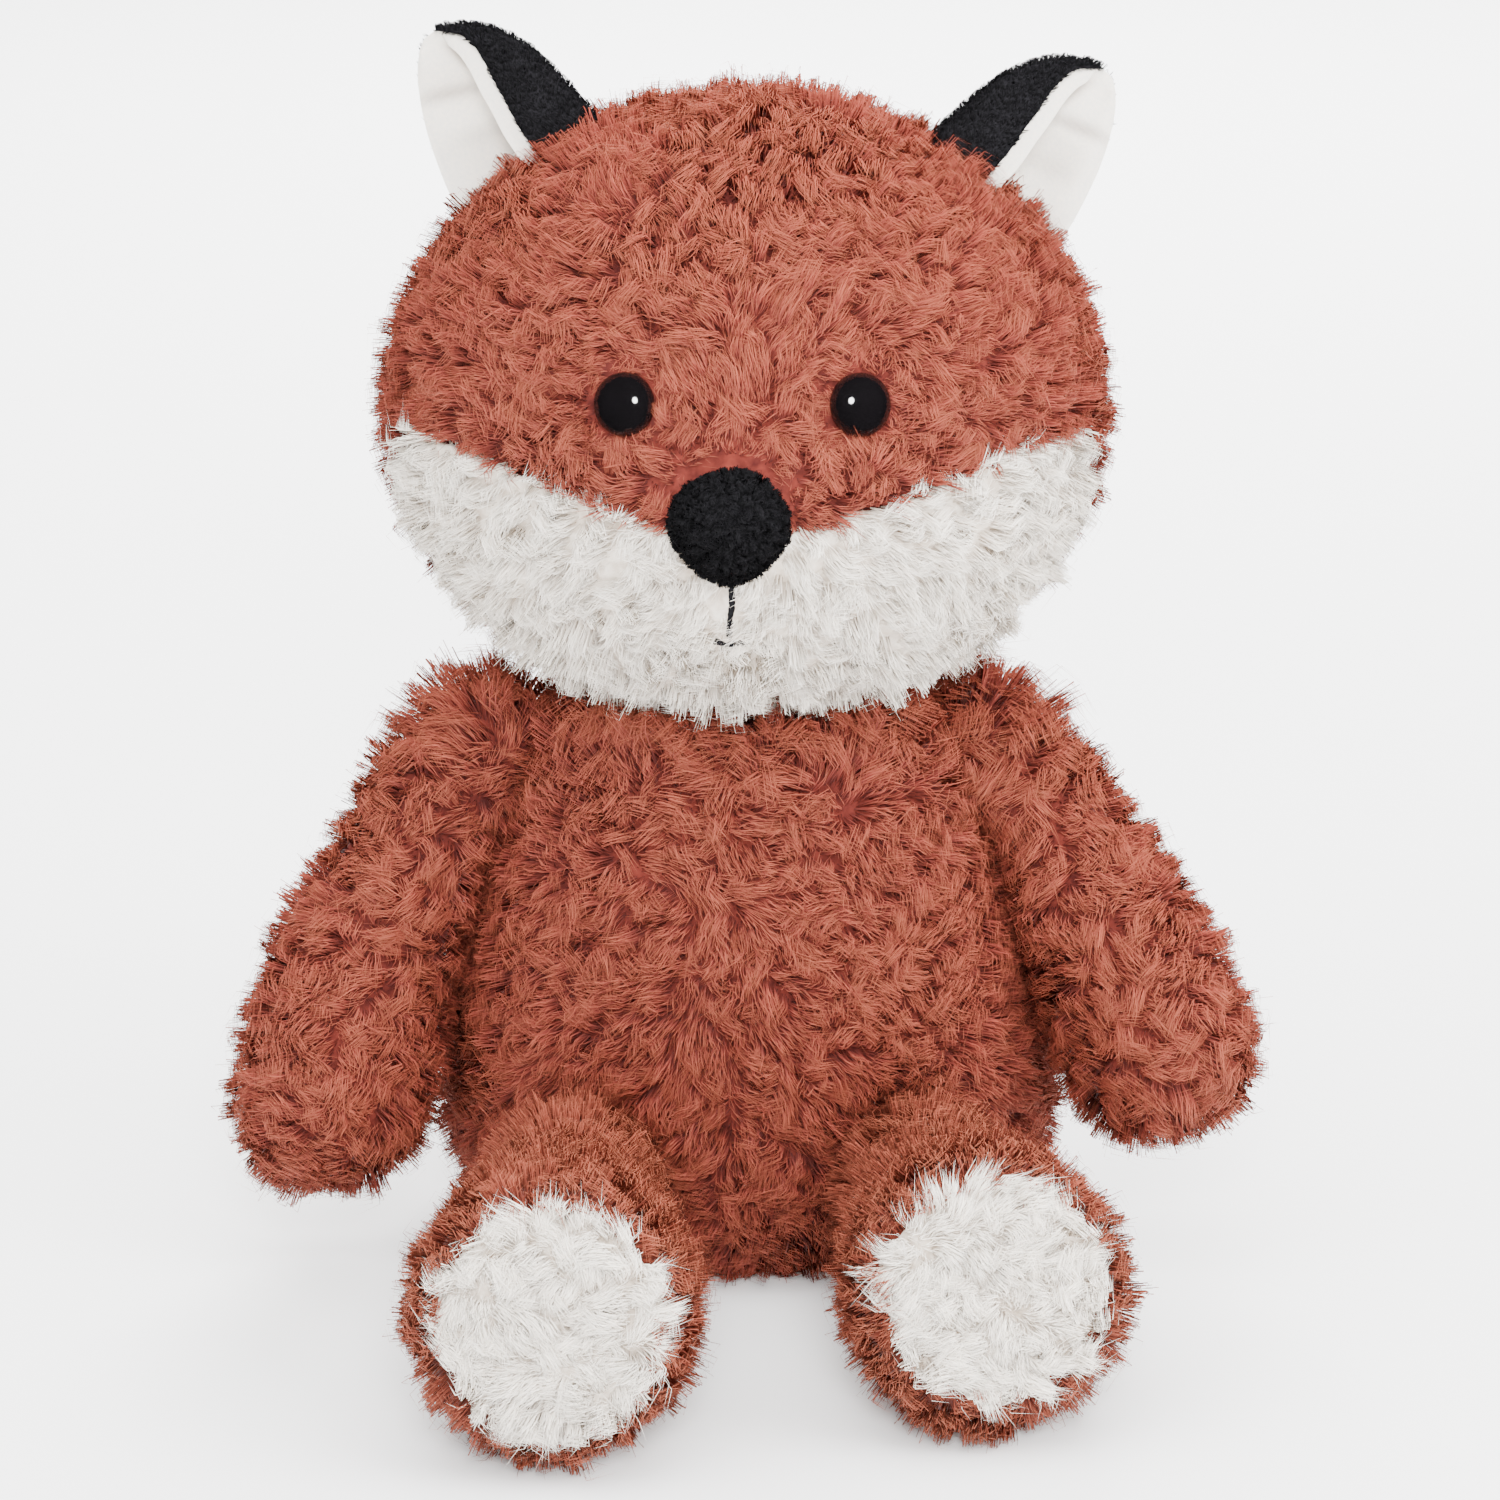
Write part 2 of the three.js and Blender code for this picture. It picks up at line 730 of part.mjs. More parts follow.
// Ears
for (const side of ['left', 'right']) {
  const earGroup = new THREE.Group();
  earGroup.applyMatrix4(earPlace(side));
  earGroup.add(
    piece(`ear_back_${side}`, earLeaf(side, -earRound, -seamGap / 2, 0), black, 0.95),
    piece(`ear_lining_${side}`, earLeaf(side, seamGap / 2, earRound, 0), white, 0.95),
  );
  headGroup.add(earGroup);
}

// Arms
for (const side of ['left', 'right']) {
  const form = arms[side];
  const armGroup = new THREE.Group();
  armGroup.position.copy(form.root);
  armGroup.add(
    piece(`arm_skin_${side}`, limbSkin(form), rust, 1, form.root),
    piece(`arm_stuffing_${side}`, limbStuffing(form), wadding, 1, form.root),
  );
  fox.add(armGroup);
}

// Legs
for (const side of ['left', 'right']) {
  const form = legs[side];
  const shell = limbSkin(form).subtract(behind(floor, zAxis));
  const toe = placeOn(form.spine.getPointAt(1), form.spine.getTangentAt(1));
  const legGroup = new THREE.Group();
  legGroup.position.copy(form.root);
  legGroup.add(
    piece(`leg_skin_${side}`, shell.subtract(soleSpace(toe, seamGap)), rustFeet, 1, form.root),
    piece(`sole_${side}`, shell.intersect(soleSpace(toe, 0)), white, 1, form.root),
    piece(`leg_stuffing_${side}`, limbStuffing(form), wadding, 1, form.root),
  );
  fox.add(legGroup);
}

// Tail
const tipSeam = tailForm.spine.getPointAt(tailTipShare);
const tipWay = tailForm.spine.getTangentAt(tailTipShare);
const tailShell = limbSkin(tailForm);
const tailGroup = new THREE.Group();
tailGroup.position.copy(tailRoot);
tailGroup.add(
  piece('tail_skin', tailShell.intersect(behind(tipSeam, tipWay)), rust, 1, tailRoot),
  piece(
    'tail_tip',
    tailShell.subtract(behind(tipSeam.clone().addScaledVector(tipWay, seamGap), tipWay)),
    white,
    1,
    tailRoot,
  ),
  piece('tail_stuffing', limbStuffing(tailForm), wadding, 1, tailRoot),
);
fox.add(tailGroup);

export default fox;
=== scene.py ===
"""A sitting plush fox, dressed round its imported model.

The long curly pile is real strands, thin ribbons that grow from cloth measured on the model's solids and
lean together in tufts. Ears, eyes, nose, thread and the stuffing inside are surfaces worked out here.
All lengths are in metres, +Z up, and the fox faces -Y. Left and right are its own sides, left at +X.
"""

import json
import math

import bmesh
import bpy
import numpy as np
from bpy.props import FloatProperty, FloatVectorProperty, PointerProperty
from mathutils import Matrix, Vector
from mathutils.bvhtree import BVHTree


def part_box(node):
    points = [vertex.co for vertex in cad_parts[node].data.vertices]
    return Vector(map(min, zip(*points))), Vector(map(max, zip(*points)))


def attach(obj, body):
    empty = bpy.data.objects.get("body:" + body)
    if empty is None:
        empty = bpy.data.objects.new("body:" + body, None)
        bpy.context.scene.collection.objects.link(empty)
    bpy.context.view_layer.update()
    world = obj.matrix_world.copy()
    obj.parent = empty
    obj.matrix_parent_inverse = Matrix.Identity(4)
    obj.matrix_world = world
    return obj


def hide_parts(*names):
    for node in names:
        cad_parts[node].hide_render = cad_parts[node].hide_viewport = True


bl_info = {
    "name": "Plush fox",
    "version": (1, 0, 0),
    "blender": (4, 5, 0),
    "location": "3D View > Sidebar > Plush fox",
    "description": "Dresses a sitting plush fox in curly pile, velour, thread and glossy eyes",
    "category": "Object",
}

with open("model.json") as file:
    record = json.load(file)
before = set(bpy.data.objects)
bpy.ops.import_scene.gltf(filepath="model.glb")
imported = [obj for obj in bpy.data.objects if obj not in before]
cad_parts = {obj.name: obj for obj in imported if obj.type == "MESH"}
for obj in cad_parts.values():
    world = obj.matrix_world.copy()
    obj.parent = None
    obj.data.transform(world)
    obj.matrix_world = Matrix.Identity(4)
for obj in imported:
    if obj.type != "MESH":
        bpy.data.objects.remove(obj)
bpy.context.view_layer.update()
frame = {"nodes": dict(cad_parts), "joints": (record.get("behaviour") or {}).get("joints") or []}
JOINTS = {joint["name"]: np.array(joint["pos_m"]) for joint in frame["joints"]}
AXES = {joint["name"]: np.array(joint["axis"]) for joint in frame["joints"]}
X, Y, Z = np.eye(3)
SIDES = {"left": 1, "right": -1}
MM = 0.001

# Places and lengths that several pieces share
ROOM = 20 * MM  # how far from a form other bodies are looked for
SEAM_ROOM = 1.5 * MM  # nearer to another body than this is a seam
SEAM_STEPS = 4  # grid steps that pile grows on into a seam
RAISED = 0.5 * MM  # how far a white panel's cloth stands over its form's own depth
SUNK = -1.5 * MM  # and how far the coloured cloth under it lies lower
MOUTH_HALF = 3 * MM  # half the length of the mouth's level thread
HEAD_MIDDLE = 168 * MM  # the height of the head's middle
NECK_TOP = 106 * MM  # where the pile at the neck is all turned up and longest
NOSE_REACH = 9 * MM  # how far back from the nose's front its nap goes
NO_LINE = 1.0  # the distance to the mouth's line of places that are nowhere near it


def paint(red, green, blue):
    """An 8-bit display colour as scene-linear red, green and blue."""
    shares = np.array([red, green, blue]) / 255
    return tuple(np.where(shares > 0.04045, ((shares + 0.055) / 1.055) ** 2.4, shares / 12.92))


def colour_property(name, description, default):
    return FloatVectorProperty(
        name=name, description=description, subtype="COLOR", size=3, min=0, max=1, default=default
    )


def length_property(name, description, default):
    return FloatProperty(name=name, description=description, default=default, min=0, unit="LENGTH")


class FoxPile(bpy.types.PropertyGroup):
    """How the pile grows."""

    thickness: length_property("Cloth depth", "How far the cloth lies under the model's surface", 4.6 * MM)
    height: length_property("Pile height", "How high the curly pile stands over its cloth", 5.6 * MM)
    lean: length_property("Pile lean", "How far the tip of a strand leans over", 4.4 * MM)
    tuft: length_property("Tuft size", "The width of one curly tuft", 3.5 * MM)
    strand: length_property("Strand width", "The width of one strand of the curly pile", 0.24 * MM)
    density: FloatProperty(
        name="Strands per square millimetre",
        description="How thickly the curly pile grows",
        default=3.65,
        min=0.1,
        max=8,
    )
    sole_height: length_property("Sole pile height", "How high the pile of the soles stands", 7.5 * MM)
    side_seam: FloatProperty(
        name="Side seam",
        description="How far back the white cheek reaches, as a place along the front-to-back axis",
        default=-15 * MM,
        unit="LENGTH",
    )
    cheek_top: length_property("Cheek top", "Height of the white cheek's upper end", 168.5 * MM)
    nap: length_property("Nap", "The height of the velour nap on the nose and ear backs", 1.3 * MM)


class FoxColours(bpy.types.PropertyGroup):
    """The colours of the cloth, from the root of the pile to its tip. The dark roots are partly
    painted shade deep in the pile, and the light tips partly painted highlight.
    """

    # Roots: partly the pile's own colour, partly painted shade deep in the pile; tips partly painted
    # highlight
    rust_root_and_shade: colour_property("Rust root", "Foot of the rust pile", paint(60, 20, 19))
    rust: colour_property("Rust", "Middle of the rust pile", paint(125, 52, 42))
    rust_tip_and_highlight: colour_property("Rust tip", "Tips of the rust pile", paint(159, 85, 61))
    foot_root_and_shade: colour_property("Foot root", "Foot of the pile on the feet", paint(68, 26, 20))
    foot: colour_property("Foot", "Middle of the pile on the feet", paint(133, 62, 46))
    foot_tip_and_highlight: colour_property("Foot tip", "Tips of the pile on the feet", paint(162, 94, 70))
    # The white pile's dark warm root is painted shade between its tufts
    white_root_and_shade: colour_property("White root", "Foot of the white pile", paint(184, 165, 147))
    white: colour_property("White", "Middle of the white pile", paint(246, 237, 224))
    white_tip_and_highlight: colour_property("White tip", "Tips of the white pile", paint(250, 245, 236))
    velour: colour_property("Ear lining", "White velour of the ear linings", paint(228, 223, 215))
    black: colour_property("Black", "Black velour and thread", paint(11, 11, 12))
    # The black nap's lighter tips are a painted sheen
    black_tip_and_sheen: colour_property("Black sheen", "Tips of the black nap", paint(34, 33, 36))
    eye: colour_property("Eye", "Plastic of the eyes", paint(8, 7, 8))
    wadding: colour_property("Wadding", "Fibre stuffing", paint(236, 232, 224))


class FoxStage(bpy.types.PropertyGroup):
    """The camera's place and the studio."""

    distance: length_property("Distance", "From the camera to the point it looks at", 1.3)
    aim_height: length_property("Aim height", "Height of the point the camera looks at", 99.1 * MM)
    aim_forward: length_property("Aim forward", "How far in front of the seat that point lies", 8 * MM)
    elevation: FloatProperty(
        name="Elevation",
        description="How far the camera stands above the level",
        default=math.radians(18),
        subtype="ANGLE",
    )
    lens: FloatProperty(name="Lens", description="Focal length in millimetres", default=159.1, min=10)
    ground: colour_property("Ground", "Colour of the floor", (0.97, 0.97, 0.97))


# Numbers that vary from place to place


CUBE_PRIMES = (73856093, 19349663, 83492791)  # they turn a cube's place into one number
# Each use of a tuft's key has a salt, so that it draws numbers of its own
PLACE_SALTS, TURN_SALTS = (1, 2, 3), (4, 5, 6)
HEIGHT_SALT, LEAN_SALT, SWIRL_SALT, TONE_SALT, HAND_SALT = range(7, 12)


def dice(keys, salt):
    """One even random number from 0 to 1 for each whole-number key. Shifts and large odd multipliers mix
    the key's bits until every one of them depends on all."""
    start = np.uint64(salt * 0x632BE59BD9B4E019 % 2**64)
    mixed = keys.astype(np.uint64) * np.uint64(0x9E3779B97F4A7C15) + start
    mixed ^= mixed >> np.uint64(30)
    mixed *= np.uint64(0xBF58476D1CE4E5B9)
    mixed ^= mixed >> np.uint64(27)
    mixed *= np.uint64(0x94D049BB133111EB)
    mixed ^= mixed >> np.uint64(31)
    return (mixed >> np.uint64(11)).astype(float) / 2.0**53


def tufts(points, size):
    """The tuft that each point belongs to: space is cut into cubes as wide as a tuft, each cube holds one
    tuft's middle at a place drawn for it, and a point belongs to the nearest middle.
    Returns that middle, how much farther the next one is in tuft sizes, and the tuft's key."""
    cell = np.floor(points / size).astype(np.int64)
    nearest = np.full(len(points), np.inf)
    second = nearest.copy()
    middle = np.zeros_like(points)
    owner = np.zeros(len(points), np.uint64)
    for step in np.ndindex(3, 3, 3):
        cube = cell + np.array(step) - 1
        key = np.bitwise_xor.reduce(cube * np.array(CUBE_PRIMES), axis=1).astype(np.uint64)
        place = (cube + np.stack([dice(key, salt) for salt in PLACE_SALTS], 1)) * size
        far = np.linalg.norm(points - place, axis=1)
        closer = far < nearest
        second = np.where(closer, nearest, np.minimum(second, far))
        middle[closer] = place[closer]
        owner[closer] = key[closer]
        nearest = np.minimum(nearest, far)
    return middle, (second - nearest) / size, owner


def drift(points, wavelength, seed):
    """A smooth random vector at each point: for each of its parts, the mean of waves of about one length
    that cross space in random directions."""
    rng = np.random.default_rng(seed)
    total = np.zeros_like(points)
    waves = 7
    for _ in range(waves):
        ways = rng.normal(size=(3, 3))
        ways *= (math.tau / wavelength) / np.linalg.norm(ways, axis=1, keepdims=True)
        total += np.sin(points @ ways.T + rng.uniform(0, math.tau, 3))
    return total / math.sqrt(waves / 2)


def unit(vectors):
    return vectors / np.maximum(np.linalg.norm(vectors, axis=-1, keepdims=True), 1e-12)


def dot(one, other):
    return (one * other).sum(-1, keepdims=True)


def flat_on(vectors, normals):
    """What is left of the vectors along the surface that has these normals."""
    return vectors - dot(vectors, normals) * normals


def smooth_step(values, low, high):
    share = np.clip((values - low) / (high - low), 0, 1)
    return share * share * (3 - 2 * share)


# Forms measured on the frame


def node_points(node):
    mesh = frame["nodes"][node].data
    points = np.empty(len(mesh.vertices) * 3, np.float32)
    mesh.vertices.foreach_get("co", points)
    return points.reshape(-1, 3).astype(float)


def node_triangles(node):
    mesh = frame["nodes"][node].data
    mesh.calc_loop_triangles()
    corners = np.empty(len(mesh.loop_triangles) * 3, np.int32)
    mesh.loop_triangles.foreach_get("vertices", corners)
    return corners.reshape(-1, 3)


def solids(nodes):
    """A search tree of the faces of some of the frame's nodes, and the node that each face is of."""
    places, faces, owners = [], [], []
    for number, node in enumerate(nodes):
        offset = sum(len(part) for part in places)
        places.append(node_points(node))
        faces.append(node_triangles(node) + offset)
        owners.append(np.full(len(faces[-1]), number))
    tree = BVHTree.FromPolygons(np.concatenate(places).tolist(), np.concatenate(faces).tolist())
    return tree, np.concatenate(owners)


def softened(grid, passes):
    """A grid averaged with its neighbours, round the columns and along the rows, some number of times."""
    for _ in range(passes):
        grid = (np.roll(grid, 1, 1) + 2 * grid + np.roll(grid, -1, 1)) / 4
        padded = np.concatenate([grid[:1], grid, grid[-1:]])
        grid = (padded[:-2] + 2 * grid + padded[2:]) / 4
    return grid


def spread_out(grid, pick):
    """A grid whose every value is the largest, or the smallest, of itself and its neighbours."""
    grid = pick(pick(np.roll(grid, 1, 1), np.roll(grid, -1, 1)), grid)
    padded = np.concatenate([grid[:1], grid, grid[-1:]])
    return pick(pick(padded[:-2], padded[2:]), grid)


def slots_closed(grid, steps):
    """A grid whose dips are filled where they are narrower than some number of steps."""
    for pick in (np.maximum, np.minimum):
        for _ in range(steps):
            grid = spread_out(grid, pick)
    return grid


class Form:
    """A closed surface round a spine, measured on the frame's solids.

    Every row has a centre on the spine and a tilt, which runs from -90 degrees at the first pole through
    0 along the spine to 90 at the last pole. Every column turns round the spine. A ray from outside runs
    to the row's centre along the tilted radius, and its first hit on the solids gives the reach there.
    Reaches are closed over narrow slots and softened over the solids' facets.

    Columns start at the side named across. Caps are the numbers of rows of the two ends, outside is how far
    out the rays start, passes how often the reaches are softened, and others the nodes of other bodies.
    """

    def __init__(self, nodes, spine, across, columns, caps, outside, passes, others=()):
        long = np.ptp(spine, axis=0).max() > 0
        along = unit(np.gradient(spine, axis=0)) if long else np.tile(Z, (len(spine), 1))
        first, last = caps
        tilt = np.concatenate([
            np.linspace(-math.pi / 2, 0, first, endpoint=False),
            np.zeros(len(spine)),
            np.linspace(math.pi / 2, 0, last, endpoint=False)[::-1],
        ])
        pick = np.concatenate([np.zeros(first, int), np.arange(len(spine)), np.full(last, len(spine) - 1)])
        self.centres = spine[pick]
        self.along = along[pick]
        side = unit(flat_on(np.broadcast_to(across, self.along.shape), self.along))
        other = np.cross(self.along, side)
        turn = np.linspace(0, math.tau, columns, endpoint=False)[None, :, None]
        radial = np.cos(turn) * side[:, None] + np.sin(turn) * other[:, None]
        tilt = tilt[:, None, None]
        self.ways = np.cos(tilt) * radial + np.sin(tilt) * self.along[:, None]
        self.rows, self.columns = self.ways.shape[:2]
        reach, self.owner = self.measured(nodes, outside)
        reach = softened(slots_closed(reach, 2), passes)
        reach[0], reach[-1] = reach[0].mean(), reach[-1].mean()
        self.reach = reach
        surface = self.surface(0)
        self.normals = self.facing(surface)
        self.room = self.room_beside(others, surface)
        self.depth = np.full(reach.shape, bpy.context.scene.fox_pile.thickness)
        self.seen = self.room > SEAM_ROOM
        for _ in range(SEAM_STEPS):
            self.seen = spread_out(self.seen, np.maximum)

    def measured(self, nodes, outside):
        """The reach in every direction, before it is softened, and the number of the node that is met."""
        tree, owners = solids(nodes)
        starts = self.centres[:, None] + self.ways * outside
        reach = np.zeros((self.rows, self.columns))
        owner = np.zeros((self.rows, self.columns), int)
        for cell in np.ndindex(reach.shape):
            _, _, face, run = tree.ray_cast(Vector(starts[cell]), Vector(-self.ways[cell]), outside)
            if face is not None:
                reach[cell] = outside - run
                owner[cell] = owners[face]
        return reach, owner

    def room_beside(self, others, surface):
        """How far the nearest of the other bodies' nodes lies from each point, or ROOM where none is near."""
        room = np.full(surface.shape[:2], ROOM)
        if others:
            near, _ = solids(others)
            for cell in np.ndindex(room.shape):
                distance = near.find_nearest(Vector(surface[cell]), ROOM)[3]
                if distance is not None:
                    room[cell] = distance
        return room

    def everywhere(self):
        return np.ones(self.reach.shape, bool)

    def white_panel(self, number):
        """Where the form is the white panel's node, with its edge smoothed."""
        return softened((self.owner == number).astype(float), 1) > 0.5

    def surface(self, depth):
        """The grid of points at a depth under the measured surface."""
        return self.centres[:, None] + self.ways * (self.reach - depth)[..., None]

    def facing(self, surface):
        """The outward normal at each point of such a grid."""
        down = np.gradient(surface, axis=0)
        round_it = np.roll(surface, -1, 1) - np.roll(surface, 1, 1)
        normals = unit(np.cross(round_it, down))
        normals *= np.where(dot(normals, self.ways) < 0, -1, 1)
        normals[0], normals[-1] = -self.along[0], self.along[-1]
        return unit(softened(normals, 1))

    def finer(self, grid, factor):
        """A grid of values with its rows and columns multiplied, straight between the old ones."""
        rows = np.linspace(0, self.rows - 1, int((self.rows - 1) * factor) + 1)
        columns = np.linspace(0, self.columns, int(self.columns * factor), endpoint=False)
        row, column = np.meshgrid(rows, columns, indexing="ij")
        return self.at(grid, row.ravel(), column.ravel()).reshape(row.shape + grid.shape[2:])

    def at(self, grid, row, column):
        """The values of a grid between its points, by the shares of the four corners round each place."""
        low = np.clip(row.astype(int), 0, self.rows - 2)
        left = column.astype(int) % self.columns
        right = (left + 1) % self.columns
        down, across = row - low, column - np.floor(column)
        if grid.ndim == 3:
            down, across = down[:, None], across[:, None]
        top = grid[low, left] * (1 - across) + grid[low, right] * across
        base = grid[low + 1, left] * (1 - across) + grid[low + 1, right] * across
        return top * (1 - down) + base * down

    def scatter(self, per_area, wanted, seed):
        """Random places on the form, evenly by area, where the wanted grid is true: their rows, their
        columns, and the generator that drew them."""
        rng = np.random.default_rng(seed)
        surface = self.surface(self.depth)
        edge = np.roll(surface, -1, 1) - surface
        area = np.linalg.norm(np.cross((edge[:-1] + edge[1:]) / 2, surface[1:] - surface[:-1]), axis=2)
        near = wanted[:-1] | wanted[1:]
        area = area * (near | np.roll(near, -1, 1))
        count = int(area.sum() * per_area)
        draws = (np.arange(count) + rng.random(count)) / count * area.sum()
        cell = np.searchsorted(np.cumsum(area.ravel()), draws).clip(0, area.size - 1)
        return cell // self.columns + rng.random(count), cell % self.columns + rng.random(count), rng


def centred_spine(nodes, path, across, outside):
    """A path moved to the middle of the solids round it: rays from outside find the walls in a ring at
    each point, and their mean is the new point, twice over."""
    tree, _ = solids(nodes)
    turn = np.linspace(0, math.tau, 16, endpoint=False)[None, :, None]
    for _ in range(2):
        along = unit(np.gradient(path, axis=0))
        side = unit(flat_on(np.broadcast_to(across, path.shape), along))
        ring = np.cos(turn) * side[:, None] + np.sin(turn) * np.cross(along, side)[:, None]
        walls = np.empty_like(ring)
        for cell in np.ndindex(ring.shape[:2]):
            place = path[cell[0]]
            hit = tree.ray_cast(Vector(place + ring[cell] * outside), Vector(-ring[cell]), outside)[0]
            walls[cell] = place if hit is None else hit
        middle = walls.mean(1)
        middle[0] = path[0]
        for _ in range(3):
            middle[1:-1] = (middle[:-2] + 2 * middle[1:-1] + middle[2:]) / 4
        path = middle
    return path


def bent_path(points, count):
    """Points along a curve of the second order with three controls."""
    share = np.linspace(0, 1, count)[:, None]
    return (1 - share) ** 2 * points[0] + 2 * share * (1 - share) * points[1] + share**2 * points[2]


# Meshes


def new_object(name, mesh):
    made = bpy.data.objects.new(name, mesh)
    bpy.context.scene.collection.objects.link(made)
    return made


def mesh_of(name, points, loops, starts, places):
    """A smooth mesh: the corners of its faces one after another, where each face starts, and each corner's
    place on the map named OFBake."""
    mesh = bpy.data.meshes.new(name)
    mesh.vertices.add(len(points))
    mesh.vertices.foreach_set("co", points.astype(np.float32).ravel())
    mesh.loops.add(len(loops))
    mesh.loops.foreach_set("vertex_index", loops.astype(np.int32))
    mesh.polygons.add(len(starts))
    mesh.polygons.foreach_set("loop_start", starts.astype(np.int32))
    mesh.polygons.foreach_set("use_smooth", np.ones(len(starts), bool))
    mesh.update(calc_edges=True)
    mesh.uv_layers.new(name="OFBake").uv.foreach_set("vector", places.astype(np.float32).ravel())
    return mesh


def quads_mesh(name, points, keep=None, shade=None):
    """A grid of points as a mesh whose columns close on each other and whose first and last rows shrink to
    a pole, where its faces have three corners. Only the cells of keep are made. Its map runs once round and
    once along. A grid of painted shade is kept with its points."""
    rows, columns = points.shape[:2]
    index = np.arange(rows * columns).reshape(rows, columns)
    index[0], index[-1] = index[0, 0], index[-1, 0]
    after = np.roll(index, -1, 1)
    corners = np.stack([index[:-1], after[:-1], after[1:], index[1:]], 2).reshape(-1, 4)
    column = np.tile(np.arange(columns), rows - 1) / columns
    row = np.repeat(np.arange(rows - 1), columns) / (rows - 1)
    across = np.stack([column, column + 1 / columns, column + 1 / columns, column], 1)
    along = np.stack([row, row, row + 1 / (rows - 1), row + 1 / (rows - 1)], 1)
    chosen = np.ones(len(corners), bool) if keep is None else keep.ravel()
    corners = corners[chosen]
    real = corners != np.roll(corners, 1, 1)
    used, loops = np.unique(corners[real], return_inverse=True)
    starts = np.cumsum(real.sum(1)) - real.sum(1)
    places = np.stack([across[chosen][real], along[chosen][real]], 1)
    mesh = mesh_of(name, points.reshape(-1, 3)[used], loops, starts, places)
    # The painted crease shade, kept as the Shade attribute
    if shade is not None:
        values = shade.ravel()[used].astype(np.float32)
        mesh.attributes.new("Shade", "FLOAT", "POINT").data.foreach_set("value", values)
    return mesh


# Where a strand's three rows lie along it, and how wide they are
STRAND_SHARES = np.array([0, 0.55, 1])
STRAND_WIDTH_SHARES = np.array([1, 0.85, 0])
MAP_EDGE = 0.01  # how far a strand's place on its map keeps from the map's edge
MAP_SPREAD = 0.006  # half the width of a strand on its map


def strand_mesh(name, paths, sides, widths, normals, tone):
    """Ribbons of two lengths that end in a point: at each place on a path the ribbon's two edges lie half
    a width to each side. The map's first number runs from root to tip and its second is the strand's tone."""
    count = len(paths)
    half = sides * (widths[:, None] * STRAND_WIDTH_SHARES / 2)[..., None]
    points = np.empty((count, 5, 3))
    points[:, 0:4:2] = (paths - half)[:, :2]
    points[:, 1:4:2] = (paths + half)[:, :2]
    points[:, 4] = paths[:, 2]
    quad, triangle = [0, 1, 3, 2], [2, 3, 4]
    corner = np.array(quad + triangle)
    loops = np.arange(count)[:, None] * 5 + corner
    starts = np.arange(count)[:, None] * len(corner) + np.array([0, len(quad)])
    spread = MAP_SPREAD * np.where(corner == 4, 0, np.where(corner % 2 == 1, 1, -1))
    places = np.empty((count, len(corner), 2))
    places[..., 0] = MAP_EDGE + (1 - 2 * MAP_EDGE) * STRAND_SHARES[corner // 2]
    places[..., 1] = np.clip(tone, MAP_EDGE, 1 - MAP_EDGE)[:, None] + spread
    mesh = mesh_of(name, points.reshape(-1, 3), loops.ravel(), starts.ravel(), places)
    mesh.normals_split_custom_set_from_vertices(normals[:, [0, 0, 1, 1, 2]].reshape(-1, 3).tolist())
    return mesh


# How tufts differ: the least share of the kind's number, and what the tuft's key adds at most
TUFT_HEIGHT = (0.6, 0.72)
TUFT_LEAN = (0.55, 0.75)
# How strands differ within a tuft: the least and the largest share
STRAND_HEIGHT = (0.72, 1.12)
STRAND_LEAN = (0.6, 1.3)
STRAND_WIDTH = (0.7, 1.15)
# A loose strand: its height, its wander and its width as shares of the others', how far it closes up, and
# how far it bends along its tuft's way as a share of its height
STRAY_HEIGHT, STRAY_WANDER, STRAY_WIDTH, STRAY_CLUMP, STRAY_BEND = 1.25, 2.5, 0.5, 0.1, 0.3
# A strand's tone: the middle one, how much tufts and strands differ, and how much darker a tuft's edge is, as
# painted shade where tufts meet
TONE, TUFT_TONE, STRAND_TONE, EDGE_PAINTED_SHADE = 0.54, 0.2, 0.6, 0.14
OFF_FLOOR = (0.4 * MM, 0.8 * MM)  # how high over the floor strands stay at least, and what chance adds


def by_tuft(key, salt, span):
    """A share of its own for each tuft, from the least one up to the least and what may be added."""
    least, more = span
    return least + more * dice(key, salt)


